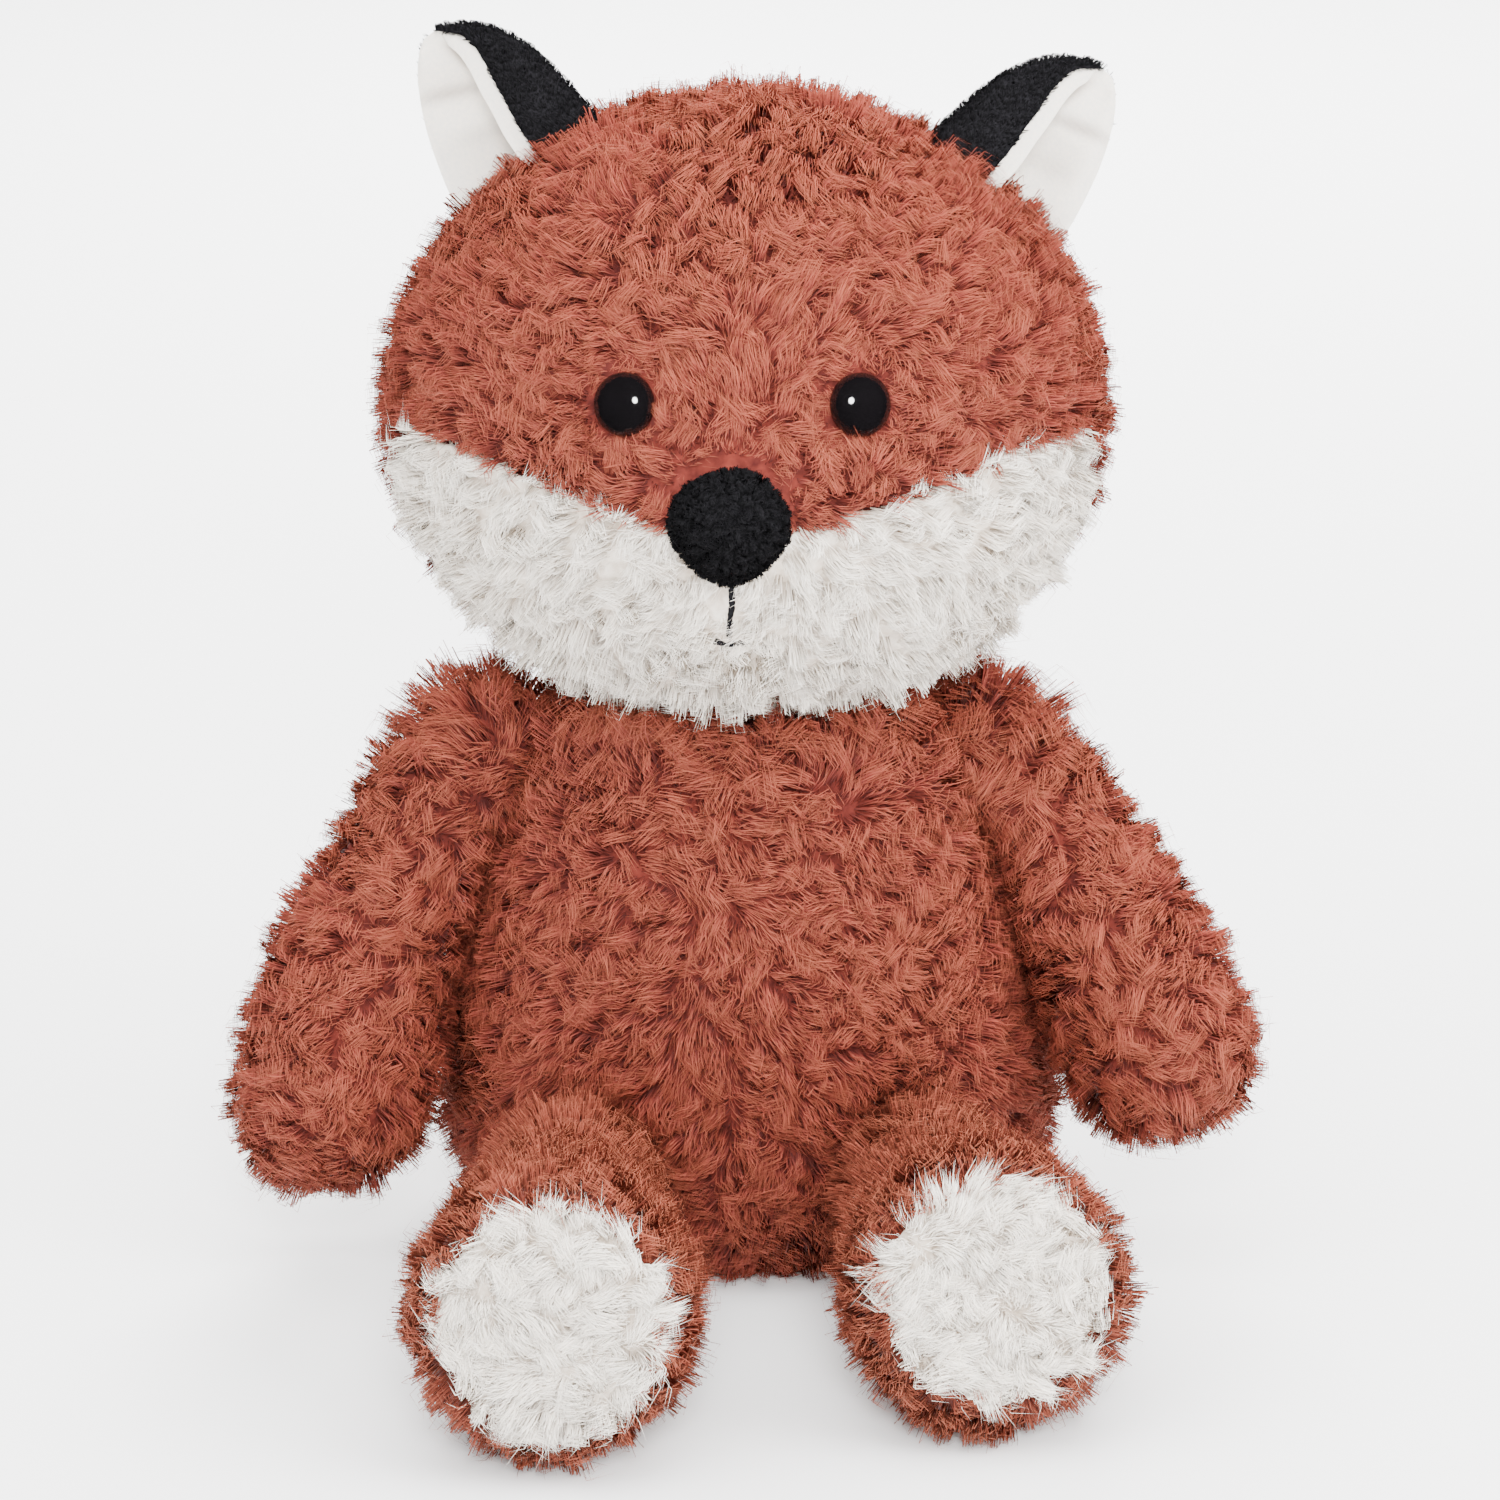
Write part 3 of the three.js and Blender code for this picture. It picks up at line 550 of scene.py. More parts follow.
def grow(name, roots, normals, comb, kind, rng):
    """Strands of curly pile. Each belongs to a tuft. It rises along the normal, leans ever more along the
    tuft's own way, which is the comb's way with a random turn, and closes up towards the tuft's middle,
    with a swirl round it. Strands stand lower near the tuft's edge, so the tufts are rounded."""
    count = len(roots)
    middle, gap, key = tufts(roots, kind["tuft"])
    inward = flat_on(middle - roots, normals)
    off = np.minimum(np.linalg.norm(inward, axis=1) / kind["tuft"], 0.8)
    turned = np.stack([dice(key, salt) - 0.5 for salt in TURN_SALTS], 1)
    way = unit(flat_on(unit(flat_on(comb, normals)) + kind["mess"] * 2 * turned, normals))
    mound = 1 - kind["round"] * (off / 0.6) ** 2
    tall, far = by_tuft(key, HEIGHT_SALT, TUFT_HEIGHT), by_tuft(key, LEAN_SALT, TUFT_LEAN)
    height = kind["height"] * tall * mound * rng.uniform(*STRAND_HEIGHT, count)
    lean = kind["lean"] * far * rng.uniform(*STRAND_LEAN, count)
    swirl = kind["swirl"] * 2 * (dice(key, SWIRL_SALT) - 0.5)
    stray = rng.random(count) < kind["stray"]
    height = np.where(stray, height * STRAY_HEIGHT, height)
    clump = np.where(stray, STRAY_CLUMP, kind["clump"])
    beside = np.cross(normals, inward)
    hand = np.sign(dice(key, HAND_SALT) - 0.5)
    curl = np.cross(normals, way) * (kind["curl"] * lean * hand)[:, None]
    wander = flat_on(rng.normal(size=(count, 3)), normals) * kind["wander"]
    wander = np.where(stray[:, None], wander * STRAY_WANDER, wander)
    bend = height * np.where(stray, STRAY_BEND, 0)
    # The rise slows and turns down before the tip, and all that moves a strand sideways grows towards it
    paths = np.empty((count, 3, 3))
    for place, share in enumerate(STRAND_SHARES):
        rise = math.sin(share * 0.7 * math.pi)
        paths[:, place] = (
            roots
            + normals * (height * rise)[:, None]
            + way * (lean * share**1.6 + bend * share**2)[:, None]
            + inward * (clump * share**1.3)[:, None]
            + beside * (swirl * share**2)[:, None]
            + curl * (share**2 - 0.4 * share)
            + wander * share**1.2
        )
    least, more = OFF_FLOOR
    paths[..., 2] = np.maximum(paths[..., 2], least + more * rng.random((count, 1)))
    along = unit(np.gradient(paths, axis=1))
    twist = unit(normals + kind["twist"] * rng.normal(size=(count, 3)))
    sides = unit(np.cross(along, twist[:, None]))
    widths = kind["width"] * rng.uniform(*STRAND_WIDTH, count) * np.where(stray, STRAY_WIDTH, 1)
    # Strands are shaded like the rounded tuft that they belong to, and partly like the ribbons they are
    away = -inward / kind["tuft"] * 1.5
    soft = unit(normals + away + 0.25 * way)
    facing = unit(np.cross(sides, along))
    shown = unit(facing * kind["crisp"] + soft[:, None])
    tone = TONE + TUFT_TONE * (dice(key, TONE_SALT) - 0.5) + STRAND_TONE * (rng.random(count) - 0.5)
    # Painted shade: strands near a tuft's edge, where tufts meet, are darker
    tone -= EDGE_PAINTED_SHADE * (1 - smooth_step(gap, 0, 0.35))
    return strand_mesh(name, paths, sides, widths, shown, tone)


# Materials


def shared_group(name, inputs, outputs):
    """A new node group with sockets of the given kinds, its input node and its output node."""
    group = bpy.data.node_groups.new(name, "ShaderNodeTree")
    for label, kind, default in inputs:
        socket = group.interface.new_socket(name=label, in_out="INPUT", socket_type=kind)
        if default is not None:
            socket.default_value = default
    for label, kind in outputs:
        group.interface.new_socket(name=label, in_out="OUTPUT", socket_type=kind)
    return group, group.nodes.new("NodeGroupInput"), group.nodes.new("NodeGroupOutput")


def maths(tree, operation, *values, clamp=False):
    node = tree.nodes.new("ShaderNodeMath")
    node.operation = operation
    node.use_clamp = clamp
    for socket, value in zip(node.inputs, values):
        if isinstance(value, bpy.types.NodeSocket):
            tree.links.new(value, socket)
        else:
            socket.default_value = value
    return node.outputs[0]


def mixed(tree, blend, factor, one, other):
    """A colour mix of two colours, each a socket or a plain colour."""
    node = tree.nodes.new("ShaderNodeMix")
    node.data_type = "RGBA"
    node.blend_type = blend
    for socket, value in zip((node.inputs[0], node.inputs[6], node.inputs[7]), (factor, one, other)):
        if isinstance(value, bpy.types.NodeSocket):
            tree.links.new(value, socket)
        else:
            socket.default_value = (*value, 1) if isinstance(value, tuple) else value
    return node.outputs[2]


def noise(tree, scale, detail, roughness=0.5):
    """A noise over the piece's own coordinates, as its value."""
    place = tree.nodes.new("ShaderNodeTexCoord")
    node = tree.nodes.new("ShaderNodeTexNoise")
    node.inputs["Scale"].default_value = scale
    node.inputs["Detail"].default_value = detail
    node.inputs["Roughness"].default_value = roughness
    tree.links.new(place.outputs["Object"], node.inputs["Vector"])
    return node.outputs[0]


def strand_shade():
    """The colour of a strand: from root to middle over its first half, on to the tip's from 0.42 of it to
    its end, and darker or lighter by its tone. The dark root is partly painted shade and the light tip
    partly painted highlight."""
    colour = "NodeSocketColor"
    group, given, put = shared_group(
        "Strand shade",
        [
            ("Along", "NodeSocketFloat", None),
            ("Tone", "NodeSocketFloat", None),
            ("Root", colour, None),
            ("Middle", colour, None),
            ("Tip", colour, None),
            ("Spread", "NodeSocketFloat", 0.6),
        ],
        [("Colour", colour)],
    )
    low = maths(group, "DIVIDE", given.outputs["Along"], 0.5, clamp=True)
    high = maths(group, "SUBTRACT", given.outputs["Along"], 0.42)
    high = maths(group, "DIVIDE", high, 0.58, clamp=True)
    shade = mixed(group, "MIX", low, given.outputs["Root"], given.outputs["Middle"])
    shade = mixed(group, "MIX", high, shade, given.outputs["Tip"])
    tone = maths(group, "SUBTRACT", given.outputs["Tone"], 0.5)
    tone = maths(group, "MULTIPLY", tone, given.outputs["Spread"])
    tone = maths(group, "ADD", tone, 1)
    scaled = group.nodes.new("ShaderNodeVectorMath")
    scaled.operation = "SCALE"
    group.links.new(shade, scaled.inputs[0])
    group.links.new(tone, scaled.inputs["Scale"])
    group.links.new(scaled.outputs[0], put.inputs["Colour"])
    return group


def cloth_weave():
    """Short fluff: a colour that varies over the cloth, and its height for a bump."""
    group, given, put = shared_group(
        "Cloth fluff",
        [
            ("Dark", "NodeSocketColor", None),
            ("Light", "NodeSocketColor", None),
            ("Scale", "NodeSocketFloat", 400),
        ],
        [("Colour", "NodeSocketColor"), ("Height", "NodeSocketFloat")],
    )
    place = group.nodes.new("ShaderNodeTexCoord")
    fine = group.nodes.new("ShaderNodeTexNoise")
    broad = group.nodes.new("ShaderNodeTexNoise")
    fine.inputs["Detail"].default_value = 3
    broad.inputs["Scale"].default_value = 90
    group.links.new(given.outputs["Scale"], fine.inputs["Scale"])
    for node in (fine, broad):
        group.links.new(place.outputs["Object"], node.inputs["Vector"])
    small = maths(group, "MULTIPLY", fine.outputs[0], 0.65)
    both = maths(group, "ADD", small, maths(group, "MULTIPLY", broad.outputs[0], 0.35))
    spread = maths(group, "MULTIPLY", maths(group, "SUBTRACT", both, 0.5), 2.6)
    share = maths(group, "ADD", spread, 0.5, clamp=True)
    shade = mixed(group, "MIX", share, given.outputs["Dark"], given.outputs["Light"])
    group.links.new(shade, put.inputs["Colour"])
    group.links.new(both, put.inputs["Height"])
    return group


GROUPS = {"strand": strand_shade, "cloth": cloth_weave}


def placed_group(tree, kind, **values):
    """A shared group placed in a material's tree, made the first time it is wanted."""
    made = GROUPS[kind]
    if not isinstance(made, bpy.types.NodeTree):
        made = GROUPS[kind] = made()
    node = tree.nodes.new("ShaderNodeGroup")
    node.node_tree = made
    for label, value in values.items():
        socket = node.inputs[label]
        socket.default_value = (*value, 1) if hasattr(value, "__len__") else value
    return node


def new_material(name, roughness, sheen=0.0, specular=0.5):
    """A Principled material with plain values on its own sockets; returns it, its tree and its shader."""
    material = bpy.data.materials.new(name)
    material.use_nodes = True
    tree = material.node_tree
    shader = tree.nodes["Principled BSDF"]
    shader.inputs["Roughness"].default_value = roughness
    shader.inputs["Sheen Weight"].default_value = sheen
    shader.inputs["Sheen Roughness"].default_value = 0.4
    shader.inputs["Specular IOR Level"].default_value = specular
    return material, tree, shader


def pile_material(name, root, middle, tip, spread=0.6, sheen=0.2, specular=0.25):
    """Pile that is coloured along each strand, its root partly painted shade and its tip partly painted
    highlight, and lighter or darker from one strand to the next.
    """
    material, tree, shader = new_material(name, 0.75, sheen, specular)
    shader.inputs["Sheen Tint"].default_value = (*tip, 1)
    place = tree.nodes.new("ShaderNodeUVMap")
    place.uv_map = "OFBake"
    parts = tree.nodes.new("ShaderNodeSeparateXYZ")
    shade = placed_group(
        tree, "strand", Root=tuple(root), Middle=tuple(middle), Tip=tuple(tip), Spread=spread
    )
    tree.links.new(place.outputs[0], parts.inputs[0])
    tree.links.new(parts.outputs[0], shade.inputs["Along"])
    tree.links.new(parts.outputs[1], shade.inputs["Tone"])
    tree.links.new(shade.outputs[0], shader.inputs["Base Color"])
    return material


def cloth_material(name, dark, light, scale=420, bump=0.3, depth=0.6 * MM, sheen=0.3, specular=0.2):
    """Short fluffy cloth, between a dark and a light colour, with its fluff as a bump."""
    material, tree, shader = new_material(name, 0.9, sheen, specular)
    cloth = placed_group(tree, "cloth", Dark=tuple(dark), Light=tuple(light), Scale=scale)
    height = tree.nodes.new("ShaderNodeBump")
    height.inputs["Strength"].default_value = bump
    height.inputs["Distance"].default_value = depth
    tree.links.new(cloth.outputs["Colour"], shader.inputs["Base Color"])
    tree.links.new(cloth.outputs["Height"], height.inputs["Height"])
    tree.links.new(height.outputs[0], shader.inputs["Normal"])
    return material


# The colour of the painted shade in the ear linings' creases
PAINTED_CREASE_SHADE = paint(128, 112, 104)


def velour_with_painted_crease_shade(colours):
    """White velour with painted shade, darker and warmer in the creases that its piece's shades name."""
    material = cloth_material("White velour", colours.velour, colours.white, 1300, 0.3, 0.4 * MM)
    tree = material.node_tree
    shader = tree.nodes["Principled BSDF"]
    shade = tree.nodes.new("ShaderNodeAttribute")
    shade.attribute_name = "Shade"
    share = maths(tree, "MULTIPLY", shade.outputs["Fac"], 0.6, clamp=True)
    plain = shader.inputs["Base Color"].links[0].from_socket
    tree.links.new(mixed(tree, "MIX", share, plain, PAINTED_CREASE_SHADE), shader.inputs["Base Color"])
    return material


def dress(piece, material, body, replaced=()):
    """Gives a finished piece its material and its body, and hides the solids that it stands for."""
    piece.data.materials.append(material)
    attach(piece, body)
    if replaced:
        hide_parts(*replaced)
    return piece


MATERIALS = {}


def material_of(kind):
    """The material of a kind of cloth or pile, made the first time it is wanted."""
    if kind not in MATERIALS:
        c = bpy.context.scene.fox_colours
        makers = {
            "rust": lambda: pile_material("Rust pile", c.rust_root_and_shade, c.rust, c.rust_tip_and_highlight),
            "foot": lambda: pile_material("Foot pile", c.foot_root_and_shade, c.foot, c.foot_tip_and_highlight),
            "white": lambda: pile_material("White pile", c.white_root_and_shade, c.white, c.white_tip_and_highlight, 0.42),
            "black": lambda: pile_material(
                "Black nap", c.black, c.black, c.black_tip_and_sheen, 0.8, sheen=0.0, specular=0.08
            ),
            # Cloth under the pile, from the dark root colour, which is partly painted shade, to the middle
            "rust cloth": lambda: cloth_material("Rust cloth", c.rust_root_and_shade, c.rust),
            "foot cloth": lambda: cloth_material("Foot cloth", c.foot_root_and_shade, c.foot),
            "white cloth": lambda: cloth_material("White cloth", c.white_root_and_shade, c.white),
            "black cloth": lambda: cloth_material(
                "Black velour", c.black, c.black_tip_and_sheen, 1500, 0.35, sheen=0.0, specular=0.05
            ),
            "velour": lambda: velour_with_painted_crease_shade(c),
            "wadding": lambda: cloth_material("Wadding", c.white_root_and_shade, c.wadding, 160, 0.6, 1.5 * MM),
            "pouch": lambda: cloth_material("Pouch cloth", c.white_root_and_shade, c.wadding, 900, 0.3, 0.3 * MM),
        }
        MATERIALS[kind] = makers[kind]()
    return MATERIALS[kind]


# The fox's forms, measured once


FORMS = {}
HEAD_SKINS = ("crown_skin", "muzzle_skin")
EAR_CLOTHS = tuple(f"ear_{leaf}_{side}" for leaf in ("back", "lining") for side in SIDES)
LIMB_SKINS = tuple(f"{limb}_skin_{side}" for limb in ("arm", "leg") for side in SIDES)
WHITE_NODES = {"muzzle": 1, "leg": 2, "tail": 1}  # the white panel's number among its form's nodes


# Each limb's joint, the axis at which its columns start, and the length of its rounded end
LIMBS = {"arm": ("shoulder", Y, 17 * MM), "leg": ("hip", Z, 16 * MM)}


def limb_nodes(limb, side):
    names = [f"{limb}_skin_{side}", f"{limb}_stuffing_{side}"]
    return (*names, f"sole_{side}") if limb == "leg" else tuple(names)


def head_form():
    """The head round one middle. Where the face's pile is short, its cloth lies less deep, so that the face
    keeps its shape."""
    neck = JOINTS["head_turn"]
    low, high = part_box("crown_skin")
    centre = np.array([neck[0], neck[1], (low.z + high.z) / 2 - 4 * MM])
    nodes = (*HEAD_SKINS, "head_stuffing")
    form = Form(
        nodes, centre[None], Y, columns=132, caps=(48, 47), outside=0.12, passes=3,
        others=("torso_skin", *EAR_CLOTHS),
    )
    face = 1 - face_shorten(form.surface(0).reshape(-1, 3)).reshape(form.reach.shape)
    form.depth -= 3.4 * MM * np.clip(face, 0, 0.4)
    return form


def torso_form():
    """The torso round a spine from the seat to the neck."""
    low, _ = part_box("torso_skin")
    neck = JOINTS["head_turn"]
    seat = np.array([0, 2 * MM, low.z])
    spine = np.linspace(0.22, 0.8, 26)[:, None] * (neck - seat) + seat
    return Form(
        ("torso_skin", "torso_stuffing"), spine, Y, columns=108, caps=(14, 12), outside=0.12, passes=3,
        others=(*HEAD_SKINS, *LIMB_SKINS, "tail_skin"),
    )


def limb_form(limb, side):
    """A limb round a spine from its joint: an arm to its farthest point, a leg to its sole's middle."""
    seam, across, cap = LIMBS[limb]
    joint = JOINTS[f"{seam}_{side}"]
    nodes = limb_nodes(limb, side)
    if limb == "leg":
        tip = node_points(f"sole_{side}").mean(0) - Y * 4 * MM
    else:
        points = np.concatenate([node_points(n) for n in nodes])
        tip = points[np.linalg.norm(points - joint, axis=1).argmax()]
    length = np.linalg.norm(tip - joint)
    path = joint + np.linspace(0, 1 - cap / length, 30)[:, None] * (tip - joint)
    path = centred_spine(nodes, path, across, 0.05)
    return Form(
        nodes, path, across, columns=64, caps=(8, 16), outside=0.05, passes=2,
        others=("torso_skin", *HEAD_SKINS),
    )


def tail_form():
    """The tail round a spine that bends up from its joint to its tip."""
    joint = JOINTS["tail_wag"]
    nodes = ("tail_skin", "tail_tip", "tail_stuffing")
    _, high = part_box("tail_skin")
    tip = node_points("tail_tip")
    tip = tip[tip[:, 2].argmax()]
    control = np.array([0, high.y - 14 * MM, joint[2]])
    path = bent_path([joint, control, tip - Z * 14 * MM], 30)
    path = centred_spine(nodes, path, X, 0.035)
    return Form(nodes, path, X, columns=56, caps=(8, 12), outside=0.035, passes=2, others=("torso_skin",))


def form_of(name):
    if name not in FORMS:
        limb, _, side = name.partition("_")
        makers = {"head": head_form, "torso": torso_form, "tail": tail_form}
        FORMS[name] = makers[name]() if name in makers else limb_form(limb, side)
    return FORMS[name]


CLOTH_FINER = 1.4  # how many times finer a cloth's grid is than its form's
CLOTH_MOUND = 1.2 * MM  # how high the cloth rises in a tuft
CLOTH_FLOOR = 0.25 * MM  # no cloth lies lower than this
CLOTH_WALL = 0.8 * MM  # the thickness of a panel's cloth
WADDING_DEPTH = 8.5 * MM  # how far the wadding lies under the model's surface
WADDING_FLOOR = 6 * MM
PILE_FLOOR = 1.2 * MM  # no strand is rooted lower than this
PILE_LEAST = 0.12  # strands that would be shorter than this share of their height are left out


def lumpy(form, raised):
    """The cloth under the pile: the form at its cloth's depth, raised in every tuft and left low between,
    and flat where another body is close."""
    pile = bpy.context.scene.fox_pile
    points = form.finer(form.surface(form.depth - raised), CLOTH_FINER)
    normals = unit(form.finer(form.normals, CLOTH_FINER))
    _, gap, _ = tufts(points.reshape(-1, 3), pile.tuft)
    rise = CLOTH_MOUND * smooth_step(gap, 0, 0.5).reshape(points.shape[:2])
    rise = rise * smooth_step(form.finer(form.room, CLOTH_FINER), 1 * MM, 6 * MM)
    rise[0], rise[-1] = 0, 0
    points = points + normals * rise[..., None]
    points[..., 2] = np.maximum(points[..., 2], CLOTH_FLOOR)
    return points


def cloth_piece(name, form, kind, body, replaced, raised=0.0, keep=None):
    """A form's whole cloth, or the panel of it where keep is true, which then has a wall of its own."""
    points = lumpy(form, raised)
    cells = None
    if keep is not None:
        shown = form.finer(keep.astype(float), CLOTH_FINER) > 0.5
        cells = shown[:-1] & shown[1:]
    piece = new_object(name, quads_mesh(name, points, cells))
    if keep is not None:
        wall = piece.modifiers.new("Wall", "SOLIDIFY")
        wall.thickness = CLOTH_WALL
        wall.offset = -1
    dress(piece, material_of(kind), body, replaced)
    return piece


def two_cloths(form, white, body, colour, under, over):
    """A form's coloured cloth, which lies lower under the white panel, and that panel's own cloth. Each is
    named with the node that it stands for."""
    low = np.where(white, SUNK, 0)
    cloth_piece(under[0], form, f"{colour} cloth", body, [under[1]], raised=low)
    cloth_piece(over[0], form, "white cloth", body, [over[1]], raised=RAISED, keep=white)


def wadding_piece(name, form, body, replaced):
    """Stuffing: the form well under its cloth, with broad soft lumps."""
    points = form.surface(WADDING_DEPTH)
    lumps = drift(points.reshape(-1, 3), 22 * MM, 5)[:, 0].reshape(points.shape[:2])
    points = points + form.normals * (0.8 * MM) * lumps[..., None]
    points[0], points[-1] = points[0].mean(0), points[-1].mean(0)
    points[..., 2] = np.maximum(points[..., 2], WADDING_FLOOR)
    piece = new_object(name, quads_mesh(name, points))
    dress(piece, material_of("wadding"), body, replaced)
    return piece


# What each kind of pile changes in the curly one. Lean is how far a tip lies over, mess how much the tufts'
# ways differ, round how much lower a tuft's edge is, clump how far strands close up, curl and swirl how
# they turn, stray the share of loose strands, and wander how far tips stray. Twist is how ribbons turn, and
# crisp how much each is shaded as a flat ribbon and not with its tuft.
PILE_KINDS = {
    "curly": {},
    "brow": {"density": 4.6},
    "muzzle": {
        "density": 5.4, "tuft": 5 * MM, "lean": 4 * MM, "width": 0.22 * MM, "mess": 1.2, "round": 0.65,
        "clump": 0.5, "stray": 0.1,
    },
    "arm": {"density": 4.3},
    "leg": {"lean": 3.2 * MM, "mess": 0.9, "swirl": 0.3, "stray": 0.12},
    "sole": {
        "density": 11, "tuft": 3.6 * MM, "lean": 3.8 * MM, "width": 0.2 * MM, "mess": 1.2, "round": 0.3,
        "clump": 0.3, "curl": 0.7, "swirl": 0.3, "stray": 0.15,
    },
    "nose": {
        "density": 22, "tuft": 1.5 * MM, "lean": 0.7 * MM, "width": 0.2 * MM, "mess": 1.4, "round": 0.2,
        "clump": 0.25, "curl": 0.8, "swirl": 0.8, "stray": 0.04, "wander": 0.2 * MM,
    },
    "ear": {
        "density": 9, "tuft": 1.6 * MM, "lean": 0.9 * MM, "width": 0.2 * MM, "mess": 0.5, "round": 0.15,
        "clump": 0.15, "curl": 0.3, "swirl": 0.2, "stray": 0.03, "wander": 0.12 * MM,
    },
}


def pile_ways(kind):
    """The numbers of a kind of pile. Some kinds have a height of their own."""
    pile = bpy.context.scene.fox_pile
    heights = {
        "muzzle": pile.height * 1.1,
        "sole": pile.sole_height * 0.65,
        "nose": pile.nap,
        "ear": 0.9 * MM,
    }
    curly = {
        "height": heights.get(kind, pile.height),
        "lean": pile.lean,
        "tuft": pile.tuft,
        "width": pile.strand,
        "density": pile.density,
        "mess": 1.0,
        "round": 0.25,
        "clump": 0.26,
        "curl": 0.5,
        "swirl": 0.5,
        "stray": 0.08,
        "wander": 0.7 * MM,
        "twist": 0.35,
        "crisp": 0.6,
    }
    return {**curly, **PILE_KINDS[kind]}


def pile_piece(name, form, colour, body, comb, wanted, seed, kind="curly", refine=None, shorten=None):
    """One panel's pile: strands at random places of the wanted part of the form, short or left out where
    another body or piece is close, combed by a function of the place."""
    ways = pile_ways(kind)
    row, column, rng = form.scatter(ways["density"] / MM**2, wanted, seed)
    roots = form.at(form.surface(form.depth), row, column)
    normals = unit(form.at(form.normals, row, column))
    room = form.at(form.room, row, column)
    grown = form.at((wanted & form.seen).astype(float), row, column) > 0.5
    keep = grown & (roots[:, 2] > PILE_FLOOR)
    if refine is not None:
        keep &= refine(roots)
    # As high as the cloth's depth and half the room beside it allow, but at least a fifth
    deep = form.at(form.depth, row, column)
    low = np.clip((deep - 0.3 * MM + 0.5 * room) / (1.1 * ways["height"]), 0.2, 1)
    if shorten is not None:
        low *= shorten(roots)
    keep &= low > PILE_LEAST
    roots, normals, low = roots[keep], normals[keep], low[keep]
    ways["height"] = ways["height"] * low
    ways["lean"] = ways["lean"] * (0.35 + 0.65 * low)
    mesh = grow(name, roots, normals, comb(roots), ways, rng)
    return dress(new_object(name, mesh), material_of(colour), body)


# Head


def eye_seat(side):
    """An eye's middle at its widest, its axis out of the head and its radius, measured on the node."""
    eye = node_points(f"eye_{side}")
    axis = unit(eye.mean(0) - node_points(f"eye_washer_{side}").mean(0))
    along = (eye - eye.mean(0)) @ axis
    away = np.linalg.norm(eye - eye.mean(0) - along[:, None] * axis, axis=1)
    wide = away > away.max() * 0.97
    return eye.mean(0) + axis * along[wide].mean(), axis, away.max()


def off_axis(points, centre, axis):
    """How far points lie from a line."""
    return np.linalg.norm(flat_on(points - centre, np.broadcast_to(axis, points.shape)), axis=1)


def nose_seat():
    """The middle of the nose's front, half its width and half its height."""
    low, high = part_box("nose_pad")
    centre = np.array([(low.x + high.x) / 2, low.y, (low.z + high.z) / 2])
    return centre, (high.x - low.x) / 2, (high.z - low.z) / 2


def beside_nose(points):
    """How far outside the nose's outline points lie, in shares of its size: 1 is on the outline. The outline
    is an oval that narrows downwards."""
    centre, half, tall = nose_seat()
    up = (points[:, 2] - centre[2] - 2 * MM) / tall
    width = half * (1 - 0.35 * np.clip(-up, 0, 1))
    return np.hypot((points[:, 0] - centre[0]) / width, up) + np.where(points[:, 1] > 0, 9, 0)


def mouth_seat():
    """The mouth's middle, the height of its level thread, and the height where the upright one starts."""
    low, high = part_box("mouth_stitch")
    return (low.x + high.x) / 2, low.z + 1.5 * MM, high.z + 2.5 * MM


def mouth_line(points):
    """How far points lie from the mouth's threads, on the face under the nose. The level one counts as half
    a millimetre farther, so the pile parts less there."""
    middle, bar, top = mouth_seat()
    beside = np.abs(points[:, 0] - middle)
    upright = np.where((points[:, 2] > bar) & (points[:, 2] < top), beside, NO_LINE)
    level = np.hypot(np.maximum(beside - MOUTH_HALF, 0), points[:, 2] - bar) + 0.5 * MM
    return np.where(points[:, 1] < 0, np.minimum(upright, level), NO_LINE)


def face_shorten(points):
    """The share of its full height that pile has on the face. It is none under an eye or the nose, and low
    beside them, up to 2.1 radii and 1.6 times the nose's size. Along the mouth it parts over 7 mm."""
    share = np.ones(len(points))
    for side in SIDES:
        centre, axis, radius = eye_seat(side)
        out = off_axis(points, centre, axis)
        front = (points - centre) @ axis > -3 * radius
        near = np.where(front, smooth_step(out, radius, radius * 2.1), 1)
        share *= np.where(front & (out < radius), 0, 0.26 + 0.74 * near)
    nose = beside_nose(points)
    share *= np.where(nose < 0.92, 0, 0.4 + 0.6 * smooth_step(nose, 0.92, 1.6))
    line = mouth_line(points)
    share *= 0.2 + 0.5 * smooth_step(line, 0.3 * MM, 2.2 * MM) + 0.3 * smooth_step(line, 2 * MM, 7 * MM)
    return share


